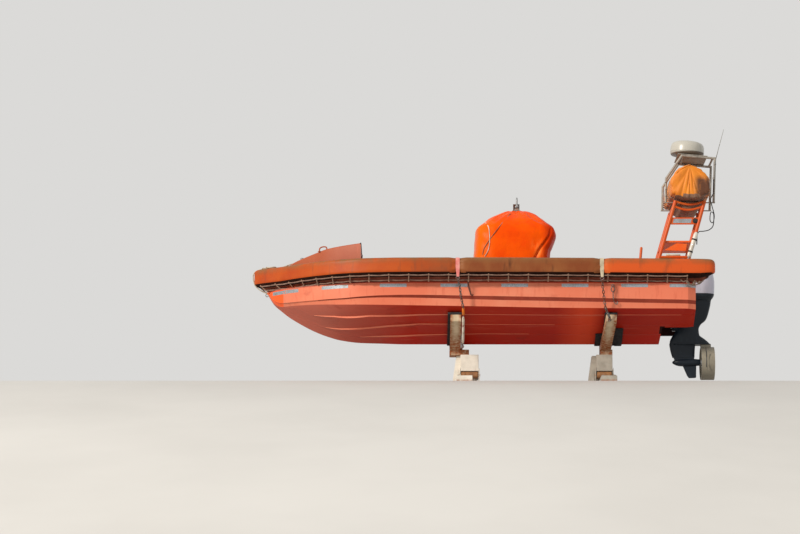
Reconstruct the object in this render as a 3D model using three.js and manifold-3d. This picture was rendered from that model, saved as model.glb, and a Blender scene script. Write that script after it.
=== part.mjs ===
// A 6.5 m open rescue boat with a foam fender collar, stowed in its cradle.
// Millimetres. +X is the bow, +Y is port, +Z is up, and z = 0 is the floor under the cradle.
import * as THREE from "three";
import { mergeVertices } from "three/addons/utils/BufferGeometryUtils.js";
import Module from "manifold-3d";

const wasm = await Module();
wasm.setup();

// Driving dimensions
const GAP = 0.3; // clearance between pieces that touch
const BOX_MIDDLE_X = -79.9; // middle of the overall length, in hull coordinates
const SIDES = [
  { name: "port", sign: 1 },
  { name: "starboard", sign: -1 },
];

const KEEL_Z = 650;
const FLANGE_Z = 1384;
const DEADRISE = THREE.MathUtils.degToRad(21.5);
const TRANSOM_X = -2920;
const DECK_Z = 1120;
const DECK_THICKNESS = 15;
const COCKPIT = { aft: -2390, fore: 1700, wall: 60 };
const WELL = { halfWidth: 440, keelX: -2464, topX: -2560, ledgeZ: 1200, ledgeHalfWidth: 420 };
const ABOVE_ALL_Z = 1500; // clear above the flange, for the cuts that open upward
const ASTERN_X = -3100;

const FENDER = { depth: 230, lap: 62, topZ: 1704, creaseZ: 1470, joints: [380, -1610] };
const COAMING = { thickness: 36, topZ: 1716 };
const CASING_AFT_X = 1722;

const MAST = { y: 500, tube: 26, topZ: 2598, shelfZ: 2038, crossZ: 2590, crossTube: 20 };
const BAG = { halfWidth: 670, middle: [-2890, 2850] };
const RADAR = { y: 330, tube: 17, plateZ: 3300, x: -2889, tilt: THREE.MathUtils.degToRad(5) };

const TILT_PIN = { x: -2590, z: 1236 };
const STEER = { x: -2678, tube: 44, shaft: 13.6, bore: 14.2, lowZ: 880 };
const PROPELLER_Z = 392;

const CRADLE = [
  { name: "fore", x: 385, footX: 285 },
  { name: "aft", x: -1690, footX: -1715 },
];

// Paint and material colours
const PAINT = {
  gelcoat: { color: 0xd8573c, roughness: 0.35, metalness: 0 },
  fenderOrange: { color: 0xe8702f, roughness: 0.6, metalness: 0 },
  fenderBrown: { color: 0xb06a41, roughness: 0.7, metalness: 0 },
  cover: { color: 0xff5a05, roughness: 0.45, metalness: 0 },
  bag: { color: 0xf59a22, roughness: 0.6, metalness: 0 },
  mast: { color: 0xf2652e, roughness: 0.4, metalness: 0.1 },
  rope: { color: 0x6b5646, roughness: 0.9, metalness: 0 },
  deck: { color: 0xb9b7b0, roughness: 0.8, metalness: 0 },
  white: { color: 0xe6e3dc, roughness: 0.4, metalness: 0 },
  cradle: { color: 0xb8a88c, roughness: 0.6, metalness: 0.2 },
  rust: { color: 0x5b3a28, roughness: 0.85, metalness: 0.3 },
  rubber: { color: 0x1d1d1f, roughness: 0.8, metalness: 0 },
  engineDark: { color: 0x1e2a36, roughness: 0.4, metalness: 0.1 },
  engineLight: { color: 0x9a9aa8, roughness: 0.3, metalness: 0 },
  aluminium: { color: 0x9da3a6, roughness: 0.45, metalness: 0.7 },
  beige: { color: 0xaaa594, roughness: 0.6, metalness: 0 },
  strapRed: { color: 0xd67f78, roughness: 0.9, metalness: 0 },
  strapBeige: { color: 0xc9bda4, roughness: 0.9, metalness: 0 },
  steel: { color: 0x8c8f90, roughness: 0.35, metalness: 0.9 },
};

// Geometry to solid, solid to geometry, and the joins and cuts between them
function solidOf(geometry) {
  const bare = new THREE.BufferGeometry();
  const source = geometry.index ? geometry.toNonIndexed() : geometry;
  bare.setAttribute("position", source.getAttribute("position"));
  const merged = mergeVertices(bare, 1e-3);
  const mesh = { numProp: 3, vertProperties: merged.attributes.position.array };
  const solid = new wasm.Manifold(
    new wasm.Mesh({ ...mesh, triVerts: new Uint32Array(merged.index.array) }),
  );
  if (solid.volume() > 0) return solid;
  const turned = new Uint32Array(merged.index.array);
  for (let i = 0; i < turned.length; i += 3) {
    [turned[i + 1], turned[i + 2]] = [turned[i + 2], turned[i + 1]];
  }
  return new wasm.Manifold(new wasm.Mesh({ ...mesh, triVerts: turned }));
}

function geometryOf(solid) {
  const mesh = solid.getMesh();
  const geometry = new THREE.BufferGeometry();
  geometry.setAttribute("position", new THREE.BufferAttribute(mesh.vertProperties, 3));
  geometry.setIndex(new THREE.BufferAttribute(mesh.triVerts, 1));
  return geometry;
}

function joined(...geometries) {
  return geometryOf(geometries.map(solidOf).reduce((all, next) => all.add(next)));
}

function cutFrom(geometry, ...cutters) {
  const left = cutters.map(solidOf).reduce((rest, cutter) => rest.subtract(cutter), solidOf(geometry));
  return geometryOf(left);
}

// Simple forms
function block(x0, x1, y0, y1, z0, z1) {
  const box = new THREE.BoxGeometry(x1 - x0, y1 - y0, z1 - z0);
  return box.translate((x0 + x1) / 2, (y0 + y1) / 2, (z0 + z1) / 2);
}

function point(x, y, z) {
  return new THREE.Vector3(x, y, z);
}

// A round rod from one point to another, tapered when a second radius is given
function rod(from, to, radius, endRadius = radius, sides = 12) {
  const along = to.clone().sub(from);
  const cylinder = new THREE.CylinderGeometry(endRadius, radius, along.length(), sides);
  const turn = new THREE.Quaternion().setFromUnitVectors(point(0, 1, 0), along.clone().normalize());
  return cylinder.applyQuaternion(turn).translate(...from.clone().add(to).divideScalar(2).toArray());
}

// A rod through a list of points, mitred at each bend
function bentRod(points, radius, sides = 8) {
  const ways = points.slice(1).map((to, i) => to.clone().sub(points[i]).normalize());
  const upright = Math.abs(ways[0].z) > 0.9 ? point(1, 0, 0) : point(0, 0, 1);
  const across = new THREE.Vector3().crossVectors(ways[0], upright).normalize();
  const other = new THREE.Vector3().crossVectors(ways[0], across);
  let ring = [];
  for (let i = 0; i < sides; i += 1) {
    const turn = (i / sides) * 2 * Math.PI;
    const place = points[0].clone().addScaledVector(across, radius * Math.cos(turn));
    ring.push(place.addScaledVector(other, radius * Math.sin(turn)));
  }
  const rings = [ring];
  points.slice(1).forEach((end, i) => {
    const mitre = ways[i].clone().add(ways[i + 1] ?? ways[i]).normalize();
    ring = ring.map((p) => {
      const reach = end.clone().sub(p).dot(mitre) / ways[i].dot(mitre);
      return p.clone().addScaledVector(ways[i], reach);
    });
    rings.push(ring);
  });
  return loft(rings);
}

// A turned piece: radii at distances along the line from one point towards another
function turned(profile, from, towards, sides = 16) {
  const lathe = new THREE.LatheGeometry(profile.map(([r, h]) => new THREE.Vector2(r, h)), sides);
  const way = towards.clone().sub(from).normalize();
  const turn = new THREE.Quaternion().setFromUnitVectors(point(0, 1, 0), way);
  return lathe.applyQuaternion(turn).translate(...from.toArray());
}

// A tube of polygon section swept along a smooth curve
function sweptTube(points, radius, sides, steps) {
  const section = new THREE.Shape();
  for (let i = 0; i < sides; i += 1) {
    const turn = (i / sides) * 2 * Math.PI;
    section[i ? "lineTo" : "moveTo"](radius * Math.cos(turn), radius * Math.sin(turn));
  }
  const path = new THREE.CatmullRomCurve3(points, false, "centripetal");
  return new THREE.ExtrudeGeometry(section, { steps, bevelEnabled: false, extrudePath: path });
}

// A plate: an outline in the X-Z plane, given a thickness across the boat
function sidePlate(outline, y0, y1) {
  const shape = new THREE.Shape(outline.map(([x, z]) => new THREE.Vector2(x, z)));
  const plate = new THREE.ExtrudeGeometry(shape, { depth: y1 - y0, bevelEnabled: false });
  return plate.rotateX(Math.PI / 2).translate(0, y1, 0);
}

// A plate: an outline in the Y-Z plane, given a thickness along the boat
function crossPlate(outline, x0, x1) {
  const shape = new THREE.Shape(outline.map(([y, z]) => new THREE.Vector2(y, z)));
  const plate = new THREE.ExtrudeGeometry(shape, { depth: x1 - x0, bevelEnabled: false });
  return plate.rotateX(Math.PI / 2).rotateZ(Math.PI / 2).translate(x0, 0, 0);
}

// A level ring: round at a squareness of 1, and a box with soft corners nearer to 0
function ovalRing({ z, fore, aft, half }, squareness, count) {
  const ring = [];
  for (let i = 0; i < count; i += 1) {
    const turn = (i / count) * 2 * Math.PI;
    const square = (v) => Math.sign(v) * Math.abs(v) ** squareness;
    const x = (fore + aft) / 2 + ((fore - aft) / 2) * square(Math.cos(turn));
    ring.push(point(x, half * square(Math.sin(turn)), z));
  }
  return ring;
}

// A closed skin over rings that all have the same number of points
function loft(rings) {
  const count = rings[0].length;
  const positions = rings.flat().flatMap((p) => [p.x, p.y, p.z]);
  const faces = [];
  for (let r = 0; r + 1 < rings.length; r += 1) {
    for (let i = 0; i < count; i += 1) {
      const a = r * count + i;
      const b = r * count + ((i + 1) % count);
      faces.push(a, b, b + count, a, b + count, a + count);
    }
  }
  const caps = [rings[0], rings.at(-1)].map((ring) => {
    const middle = ring.reduce((sum, p) => sum.add(p), new THREE.Vector3()).divideScalar(count);
    positions.push(middle.x, middle.y, middle.z);
    return positions.length / 3 - 1;
  });
  const last = (rings.length - 1) * count;
  for (let i = 0; i < count; i += 1) {
    const next = (i + 1) % count;
    faces.push(caps[0], next, i, caps[1], last + i, last + next);
  }
  const geometry = new THREE.BufferGeometry();
  geometry.setAttribute("position", new THREE.Float32BufferAttribute(positions, 3));
  geometry.setIndex(faces);
  return geometryOf(solidOf(geometry));
}

// The value of a table's column at x, on straight lines between its rows
function column(table, name, x) {
  const rows = [...table].sort((a, b) => a.x - b.x);
  if (x <= rows[0].x) return rows[0][name];
  const above = rows.findIndex((row) => row.x >= x);
  if (above < 0) return rows.at(-1)[name];
  const from = rows[above - 1];
  const to = rows[above];
  return from[name] + ((to[name] - from[name]) * (x - from.x)) / (to.x - from.x);
}

// Hull lines: keel height, chine half-breadth and height, knuckle height, sheer half-breadth
const LINES = [
  { x: 3046, keel: 1372, chineY: 6, chineZ: 1374, knuckle: 1378, sheer: 22 },
  { x: 3010, keel: 1304, chineY: 30, chineZ: 1312, knuckle: 1330, sheer: 96 },
  { x: 2946, keel: 1204, chineY: 60, chineZ: 1222, knuckle: 1250, sheer: 198 },
  { x: 2852, keel: 1123, chineY: 120, chineZ: 1164, knuckle: 1206, sheer: 312 },
  { x: 2743, keel: 1037, chineY: 255, chineZ: 1152, knuckle: 1192, sheer: 415 },
  { x: 2580, keel: 936, chineY: 420, chineZ: 1141, knuckle: 1186, sheer: 530 },
  { x: 2364, keel: 824, chineY: 590, chineZ: 1126, knuckle: 1180, sheer: 675 },
  { x: 2207, keel: 762, chineY: 690, chineZ: 1114, knuckle: 1178, sheer: 766 },
  { x: 2010, keel: 706, chineY: 790, chineZ: 1098, knuckle: 1178, sheer: 860 },
  { x: 1734, keel: 670, chineY: 878, chineZ: 1086, knuckle: 1190, sheer: 950 },
  { x: 1420, keel: 660, chineY: 925, chineZ: 1076, knuckle: 1202, sheer: 988 },
  { x: 1105, keel: 651, chineY: 945, chineZ: 1068, knuckle: 1206, sheer: 1000 },
  { x: 50, keel: KEEL_Z, chineY: 962, chineZ: 1049, knuckle: 1190, sheer: 1003 },
  { x: -1050, keel: KEEL_Z, chineY: 948, chineZ: 1031, knuckle: 1172, sheer: 990 },
  { x: -2100, keel: KEEL_Z, chineY: 930, chineZ: 1026, knuckle: 1154, sheer: 975 },
  { x: -2810, keel: KEEL_Z, chineY: 920, chineZ: 1023, knuckle: 1142, sheer: 965 },
  { x: TRANSOM_X, keel: KEEL_Z + 4, chineY: 868, chineZ: 1018, knuckle: 1140, sheer: 900 },
];
const STEP = { height: 40, inset: 26 };

// The bottom is a straight V: its height at a place on the boat, from the keel and the chine
function bottomZ(x, y) {
  const share = Math.min(1, Math.abs(y) / column(LINES, "chineY", x));
  const keel = column(LINES, "keel", x);
  return keel + (column(LINES, "chineZ", x) - keel) * share;
}

function mirroredRing(x, half) {
  const port = half.map(([y, z]) => point(x, y, z));
  const starboard = half.map(([y, z]) => point(x, -y, z)).reverse();
  return [...port, ...starboard];
}

function hullRing({ x, keel, chineY, chineZ, knuckle, sheer }) {
  const flat = Math.min(14, chineY / 2);
  const foot = Math.max(chineZ + 2, knuckle - STEP.height);
  const footY = chineY + (sheer - chineY) * 0.35;
  const headY = Math.max(footY + 2, Math.min(sheer - 4, footY + STEP.inset));
  return mirroredRing(x, [
    [flat, keel],
    [chineY, chineZ],
    [footY, foot],
    [headY, Math.max(foot + 2, knuckle)],
    [sheer, FLANGE_Z],
    [Math.min(12, sheer / 2), FLANGE_Z],
  ]);
}

// Spray rails: the outer edge's path from the fore end, and its greatest share of the chine
const SPRAY_RAILS = [
  { share: 0.88, path: [[2400, 340], [2100, 500], [1600, 660], [900, 735], [0, 760], [-2860, 760]] },
  { share: 0.6, path: [[2240, 180], [1800, 330], [1300, 450], [900, 510], [-1150, 510]] },
  { share: 0.32, path: [[1790, 130], [1400, 190], [900, 240], [0, 270], [-750, 270]] },
];
const RAIL = { width: 42, lip: 4, root: 8, endSize: 0.3, endReach: 140 };

function sprayRail({ share, path }, sign) {
  const table = path.map(([x, y]) => ({ x, y }));
  const [fore, aft] = [table[0].x, table.at(-1).x];
  const { width, lip, root, endSize, endReach } = RAIL;
  const full = LINES.map((row) => row.x).filter((x) => x < fore - endReach && x > aft + endReach);
  const stations = [fore, fore - endReach, ...full, aft + endReach, aft];
  return loft(
    stations.map((x) => {
      const size = x === fore || x === aft ? endSize : 1;
      const y = Math.min(column(table, "y", x), column(LINES, "chineY", x) * share);
      const inner = bottomZ(x, y - width * size);
      return [
        point(x, sign * (y - width * size), inner + 1),
        point(x, sign * (y + lip), inner + lip - root * size),
        point(x, sign * (y + lip), bottomZ(x, y) + root),
      ];
    }),
  );
}

function hull() {
  const body = loft(LINES.map(hullRing));
  const rails = SPRAY_RAILS.flatMap((rail) => SIDES.map(({ sign }) => sprayRail(rail, sign)));
  const stations = LINES.map((row) => row.x).filter((x) => x < COCKPIT.fore && x > COCKPIT.aft);
  const hollow = loft(
    [COCKPIT.fore, ...stations, COCKPIT.aft].map((x) => {
      const wall = column(LINES, "sheer", x) - COCKPIT.wall;
      const foot = column(LINES, "chineY", x) - COCKPIT.wall;
      return mirroredRing(x, [[foot, DECK_Z], [wall, FLANGE_Z + 5]]);
    }),
  );
  const { halfWidth, keelX, topX, ledgeHalfWidth, ledgeZ } = WELL;
  const low = KEEL_Z - 150;
  const well = sidePlate(
    [
      [ASTERN_X, low], [keelX, low], [keelX, KEEL_Z],
      [topX, FLANGE_Z], [topX, ABOVE_ALL_Z], [ASTERN_X, ABOVE_ALL_Z],
    ],
    -halfWidth,
    halfWidth,
  );
  const ledgeFore = COCKPIT.aft + COCKPIT.wall;
  const ledge = block(topX - 60, ledgeFore, -ledgeHalfWidth, ledgeHalfWidth, ledgeZ, ABOVE_ALL_Z);
  return cutFrom(joined(body, ...rails), hollow, well, ledge);
}

function deck() {
  const stations = LINES.map((row) => row.x).filter((x) => x < COCKPIT.fore && x > COCKPIT.aft);
  const edge = [COCKPIT.fore - 1, ...stations, COCKPIT.aft + 1].map((x) => ({
    x,
    y: column(LINES, "chineY", x) - COCKPIT.wall - 2,
  }));
  const outline = [...edge.map(({ x, y }) => [x, y]), ...edge.reverse().map(({ x, y }) => [x, -y])];
  const shape = new THREE.Shape(outline.map(([x, y]) => new THREE.Vector2(x, y)));
  const plate = new THREE.ExtrudeGeometry(shape, { depth: DECK_THICKNESS, bevelEnabled: false });
  return plate.translate(0, 0, DECK_Z + GAP);
}

// The coaming: the cockpit's side wall above the flange, which backs the fender
function coaming(sign) {
  const between = LINES.map((row) => row.x).filter((x) => x < CASING_AFT_X - 100 && x > TRANSOM_X + 50);
  return loft(
    [CASING_AFT_X - 4, ...between, TRANSOM_X + 6].map((x) => {
      const outer = column(LINES, "sheer", x) - FENDER.lap - GAP;
      const inner = outer - COAMING.thickness;
      return [
        point(x, sign * inner, FLANGE_Z + GAP),
        point(x, sign * outer, FLANGE_Z + GAP),
        point(x, sign * outer, COAMING.topZ),
        point(x, sign * (inner - 14), COAMING.topZ),
        point(x, sign * (inner - 14), COAMING.topZ - 18),
        point(x, sign * inner, COAMING.topZ - 24),
      ];
    }),
  );
}

// Foredeck casing: the spray shelter over the bow locker, with a square aft end
const CASING = [
  { x: 2740, half: 262, side: 1712 },
  { x: 2685, half: 318, side: 1745 },
  { x: 2479, half: 462, side: 1822 },
  { x: 2330, half: 560, side: 1868 },
  { x: 2197, half: 640, side: 1906 },
  { x: 1960, half: 752, side: 1936 },
  { x: CASING_AFT_X, half: 846, side: 1957 },
];

function casingSide(x) {
  return Math.min(column(CASING, "half", x), column(LINES, "sheer", x) - FENDER.lap - 6);
}

function foredeckCasing() {
  const body = loft(
    CASING.map(({ x, side }) =>
      mirroredRing(x, [
        [casingSide(x), FLANGE_Z + GAP],
        [casingSide(x), side - 12],
        [casingSide(x) - 14, side],
        [casingSide(x) * 0.5, side + 30],
      ]),
    ),
  );
  const handles = SIDES.map(({ sign }) => {
    const y = sign * (casingSide(2250) - 30);
    return bentRod([
      point(2300, y, 1870), point(2292, y, 1930), point(2206, y, 1944), point(2196, y, 1890),
    ], 9, 8);
  });
  const bitt = bentRod([
    point(2560, 0, 1790), point(2560, 0, 1880),
  ], 24);
  const bittBar = rod(point(2560, -70, 1862), point(2560, 70, 1862), 10);
  return joined(body, ...handles, bitt, bittBar);
}

// Fender collar in plan: outer face and inner face half-breadths, station by station.
// Aft of the bow the inner face lies square inboard, over the flange.
const NOSE = { x: 3110, radius: 122, innerX: 2880, inner: 150, turns: [44, 22, 0, -22, -44] };
const FENDER_PLAN = [
  { x: 2860, outer: 372, innerX: 2740, inner: 330 },
  { x: 2570, outer: 660, innerX: 2500, inner: 522 },
  { x: 2290, outer: 885, innerX: 2240, inner: 682 },
  { x: 2010, outer: 1046, innerX: 1985, inner: 808 },
  { x: 1734, outer: 1146 },
  { x: 1420, outer: 1200 },
  { x: 1105, outer: 1226 },
  { x: 380, outer: 1232 },
  { x: 50, outer: 1232 },
  { x: -1050, outer: 1208 },
  { x: -1610, outer: 1186 },
  { x: -2100, outer: 1160 },
  { x: -2810, outer: 1118 },
];

// One D-section of the fender between its outer and inner plan points
function fenderRing(outerXY, innerXY, shrink = 0, lift = 0) {
  const inward = innerXY.clone().sub(outerXY);
  const width = inward.length();
  const unit = inward.normalize();
  const { topZ, creaseZ, depth } = FENDER;
  const bottom = FLANGE_Z + GAP;
  const at = (inset, z) => {
    const place = outerXY.clone().addScaledVector(unit, Math.min(inset, width));
    return point(place.x, place.y, z);
  };
  return [
    at(width, bottom + lift),
    at(depth - 6 + shrink, bottom + lift),
    at(28 + shrink, creaseZ + lift * 0.6),
    at(6 + shrink, creaseZ + 26 + lift * 0.5),
    at(shrink, creaseZ + 62 + lift * 0.3),
    at(shrink, topZ - 66 - shrink),
    at(9 + shrink, topZ - 28 - shrink),
    at(36 + shrink, topZ - 6 - shrink),
    at(80 + shrink, topZ - shrink),
    at(width, topZ - shrink),
  ];
}

// Plan points of the fender round the nose, at a turn in degrees from straight ahead
function nosePlanAt(degrees) {
  const turn = THREE.MathUtils.degToRad(degrees);
  return [
    new THREE.Vector2(NOSE.x + NOSE.radius * Math.cos(turn), NOSE.radius * Math.sin(turn)),
    new THREE.Vector2(NOSE.innerX - Math.abs(degrees) * 0.4, NOSE.inner * Math.sin(turn)),
  ];
}

function noseRow() {
  const [outer, inner] = nosePlanAt(NOSE.turns[0]);
  return { x: outer.x, outer: outer.y, innerX: inner.x, inner: inner.y };
}

const FENDER_ROWS = [
  noseRow(),
  ...FENDER_PLAN.map((row) => ({
    innerX: row.x,
    inner: column(LINES, "sheer", row.x) - FENDER.lap,
    ...row,
  })),
];

// Plan points of the fender at a station along one side
function fenderPlanAt(x, sign) {
  const [outer, innerX, inner] = ["outer", "innerX", "inner"].map((name) => column(FENDER_ROWS, name, x));
  return [new THREE.Vector2(x, sign * outer), new THREE.Vector2(innerX, sign * inner)];
}

// A strap pinches the fender at each joint: how far it is drawn in, at distances from the joint
const PINCH = [
  { away: 1, shrink: 22 },
  { away: 34, shrink: 22 },
  { away: 62, shrink: 12 },
  { away: 120, shrink: 0 },
];
const PINCH_CLEAR = 150; // no plan station is used this near a joint

// Rings from one joint to the next, drawn in at both
function fenderLength(fore, aft, sign) {
  const plan = FENDER_PLAN.map((row) => row.x);
  const inside = plan.filter((x) => x < fore - PINCH_CLEAR && x > aft + PINCH_CLEAR);
  const stations = [
    ...PINCH.map(({ away, shrink }) => ({ x: fore - away, shrink })),
    ...inside.map((x) => ({ x, shrink: 0 })),
    ...[...PINCH].reverse().map(({ away, shrink }) => ({ x: aft + away, shrink })),
  ];
  return loft(stations.map(({ x, shrink }) => fenderRing(...fenderPlanAt(x, sign), shrink)));
}

function bowFender() {
  const [joint] = FENDER.joints;
  const ahead = FENDER_PLAN.map((row) => row.x).filter((x) => x > joint + PINCH_CLEAR);
  const side = (sign) => [
    ...ahead.map((x) => fenderRing(...fenderPlanAt(x, sign))),
    ...[...PINCH].reverse().map(({ away, shrink }) =>
      fenderRing(...fenderPlanAt(joint + away, sign), shrink),
    ),
  ];
  const nose = NOSE.turns.map((degrees) => fenderRing(...nosePlanAt(degrees)));
  return loft([...side(1).reverse(), ...nose, ...side(-1)]);
}

// The aft end turns in past the transom and its underside is cut up
const FENDER_TAIL = [
  { outerX: -2960, outer: 1108, innerX: -2950, inner: 897, lift: 6, shrink: 0 },
  { outerX: -3090, outer: 1086, innerX: -3040, inner: 893, lift: 44, shrink: 0 },
  { outerX: -3160, outer: 1046, innerX: -3080, inner: 893, lift: 66, shrink: 4 },
  { outerX: -3192, outer: 985, innerX: -3096, inner: 893, lift: 76, shrink: 12 },
];

function aftFender(sign) {
  const joint = FENDER.joints[1];
  const stations = [
    ...PINCH.map(({ away, shrink }) => ({ x: joint - away, shrink })),
    { x: -2100, shrink: 0 },
    { x: -2810, shrink: 0 },
  ].map(({ x, shrink }) => fenderRing(...fenderPlanAt(x, sign), shrink));
  const tail = FENDER_TAIL.map((row) =>
    fenderRing(
      new THREE.Vector2(row.outerX, sign * row.outer),
      new THREE.Vector2(row.innerX, sign * row.inner),
      row.shrink,
      row.lift,
    ),
  );
  return loft([...stations, ...tail]);
}

// Grab line: a rope in shallow scallops under the fender's lower crease
const GRAB = {
  radius: 8, pitch: 275, foreX: 3080, aftX: -2900, sag: 38, inset: 62, swing: 14, gap: 1.1,
  bend: { x: 2060, drop: 18 }, // forward of here it hangs a little lower, clear of the curving bow
};

// Height of the fender's underside at a distance in from its outer face
function undersideZ(inset) {
  const [foot, crease] = [FENDER.depth - 6, 28];
  return FLANGE_Z + GAP + ((FENDER.creaseZ - FLANGE_Z) * (foot - inset)) / (foot - crease);
}

function grabLine(sign) {
  const { radius, pitch, foreX, aftX, sag, inset, swing, gap, bend } = GRAB;
  const count = Math.round((foreX - aftX) / pitch);
  const points = [];
  for (let i = 0; i <= count * 2; i += 1) {
    const x = foreX - (i * (foreX - aftX)) / (count * 2);
    const [outer, inner] = fenderPlanAt(x, sign);
    const inward = inner.clone().sub(outer).normalize();
    const hang = i % 2;
    const place = outer.clone().addScaledVector(inward, inset - hang * swing);
    const drop = gap + hang * sag + (x > bend.x ? bend.drop : 0);
    points.push(point(place.x, place.y, undersideZ(inset) - radius - drop));
  }
  return sweptTube(points, radius, 6, count * 4);
}

// Console cover: fabric tent over the helm console and lifting frame, gathered at the top
const COVER = [
  { z: DECK_Z + DECK_THICKNESS + 2 * GAP, fore: 150, aft: -900, half: 470 },
  { z: 1560, fore: 152, aft: -920, half: 482 },
  { z: 1926, fore: 142, aft: -948, half: 486 },
  { z: 2053, fore: 137, aft: -1000, half: 484 },
  { z: 2167, fore: 130, aft: -1034, half: 478 },
  { z: 2252, fore: 121, aft: -1022, half: 462 },
  { z: 2362, fore: 4, aft: -908, half: 390 },
  { z: 2436, fore: -82, aft: -822, half: 300 },
  { z: 2492, fore: -196, aft: -752, half: 215 },
  { z: 2540, fore: -300, aft: -640, half: 110 },
];
const COVER_TOP_Z = COVER.at(-1).z;

function consoleCover() {
  return loft(COVER.map((row) => ovalRing(row, 0.5, 20)));
}

// Lifting link: a plate with an eye and the shackle in it
function liftingLink() {
  const x = -470;
  const base = COVER_TOP_Z + GAP;
  const foot = block(x - 60, x + 60, -45, 45, base, base + 14);
  const plate = cutFrom(
    block(x - 45, x + 45, -10, 10, base, base + 110),
    rod(point(x, -20, base + 74), point(x, 20, base + 74), 20, 20, 12),
  );
  const bow = bentRod([
    point(x - 8, -34, base + 74), point(x - 8, -36, base + 150), point(x - 8, 0, base + 196),
    point(x - 8, 36, base + 150), point(x - 8, 34, base + 74),
  ], 11, 8);
  const pin = rod(point(x - 8, -46, base + 74), point(x - 8, 46, base + 74), 13, 13, 10);
  return joined(foot, plate, bow, pin);
}

// Mast: two side frames of raked tube, tied together by cross tubes and a shelf
const LEG = {
  fore: { foot: [-2252, DECK_Z + DECK_THICKNESS + 2 * GAP], top: [-2686, MAST.topZ + 14] },
  aft: { foot: [-2748, FLANGE_Z + GAP], top: [-3093, MAST.topZ + 10] },
};

function legX(which, z) {
  const { foot, top } = LEG[which];
  return foot[0] + ((top[0] - foot[0]) * (z - foot[1])) / (top[1] - foot[1]);
}

function mastSide(sign) {
  const y = sign * MAST.y;
  const legs = ["fore", "aft"].flatMap((which) => {
    const { foot, top } = LEG[which];
    const pad = block(foot[0] - 55, foot[0] + 55, y - 45, y + 45, foot[1], foot[1] + 16);
    const start = foot[1] + 10;
    return [rod(point(legX(which, start), y, start), point(top[0], y, top[1]), MAST.tube), pad];
  });
  const plateOutline = [
    [legX("fore", 2275), 2275], [legX("fore", 2375), 2375],
    [legX("aft", 2375), 2375], [legX("aft", 2275), 2275],
  ];
  const sag = [0, 0.25, 0.5, 0.75, 1].map((share) => {
    const x = legX("fore", 2600) + (legX("aft", 2600) - legX("fore", 2600)) * share;
    return point(x, y, 2606 - 46 * Math.sin(Math.PI * share));
  });
  const lowRail = rod(point(legX("fore", 1812), y, 1812), point(legX("aft", 1812), y, 1812), 20);
  return joined(...legs, sidePlate(plateOutline, y - 8, y + 8), bentRod(sag, 16, 8), lowRail);
}

// How far cross pieces reach out, to the flats of the 12-sided legs
const CROSS_REACH = MAST.y - MAST.tube * Math.cos(Math.PI / 12) - GAP;

function mastCross(which) {
  const reach = CROSS_REACH;
  const x = legX(which, MAST.crossZ);
  return rod(point(x, -reach, MAST.crossZ), point(x, reach, MAST.crossZ), MAST.crossTube);
}

function mastShelf() {
  const reach = CROSS_REACH;
  const z = MAST.shelfZ;
  return sidePlate(
    [
      [legX("fore", z) + 20, z - 12], [legX("fore", z) + 20, z + 12],
      [legX("aft", z) - 20, z + 12], [legX("aft", z) - 20, z - 12],
    ],
    -reach,
    reach,
  );
}

// Self-righting bag: a peaked roll of fabric that lies across the mast head
const BAG_SECTION = [
  [-2885, 3118], [-2800, 3060], [-2680, 2975], [-2622, 2900], [-2604, 2790], [-2632, 2690],
  [-2704, 2617], [-2780, 2600], [-2890, 2590], [-3000, 2600], [-3066, 2617], [-3144, 2690],
  [-3176, 2790], [-3160, 2900], [-3098, 2980], [-2978, 3064],
];

// The loose belly that hangs between the mast's rungs, with its top inside the roll
const BELLY_SECTION = [
  [-2726, 2608], [-2722, 2560], [-2764, 2490], [-2872, 2452], [-2984, 2482], [-3034, 2545],
  [-3036, 2608],
];
const BELLY = { halfWidth: 462, middle: [-2880, 2600] };

// A roll across the boat: one section, drawn in towards a middle near its two ends
function roll(section, { halfWidth, middle }, ends) {
  const rows = [...ends, ...ends.map(({ y, size }) => ({ y: -y, size })).reverse()];
  const [middleX, middleZ] = middle;
  return loft(
    rows.map(({ y, size }) =>
      section.map(([x, z]) =>
        point(middleX + (x - middleX) * size, y * halfWidth, middleZ + (z - middleZ) * size),
      ),
    ),
  );
}

function rightingBag() {
  const ends = [{ y: 1, size: 0.72 }, { y: 0.93, size: 0.92 }, { y: 0.74, size: 1 }];
  const bellyEnds = [{ y: 1, size: 0.6 }, { y: 0.86, size: 1 }];
  return joined(roll(BAG_SECTION, BAG, ends), roll(BELLY_SECTION, BELLY, bellyEnds));
}

// Radar frame: a hoop of light tube each side of the bag, with a plate on top
function radarRailZ(x) {
  return RADAR.plateZ + (x - RADAR.x) * Math.tan(RADAR.tilt) - RADAR.tube - 2 * GAP;
}

function radarFrame() {
  const footZ = MAST.crossZ + MAST.crossTube + GAP;
  const corner = { fore: -2797, aft: -3262 };
  const hoops = SIDES.map(({ sign }) => {
    const y = sign * RADAR.y;
    return bentRod([
      point(-2560, y, footZ + 5), point(-2572, y, 2960), point(corner.fore, y, radarRailZ(corner.fore)),
      point(corner.aft, y, radarRailZ(corner.aft)), point(-3236, y, footZ + 5),
    ], RADAR.tube, 8);
  });
  const feet = SIDES.flatMap(({ sign }) => {
    const y = sign * RADAR.y;
    return [
      block(-2700, -2540, y - 22, y + 22, footZ, footZ + 10),
      block(-3256, -3070, y - 22, y + 22, footZ, footZ + 10),
    ];
  });
  const bars = [corner.fore - 30, corner.aft + 30].map((x) => {
    const z = radarRailZ(x);
    return rod(point(x, -RADAR.y, z), point(x, RADAR.y, z), RADAR.tube - 1, RADAR.tube - 1, 8);
  });
  return joined(...hoops, ...bars, ...feet);
}

function radarPlate() {
  const plate = block(-270, 150, -RADAR.y - 15, RADAR.y + 15, 0, 8);
  return plate.rotateY(-RADAR.tilt).translate(RADAR.x, 0, RADAR.plateZ);
}

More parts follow.
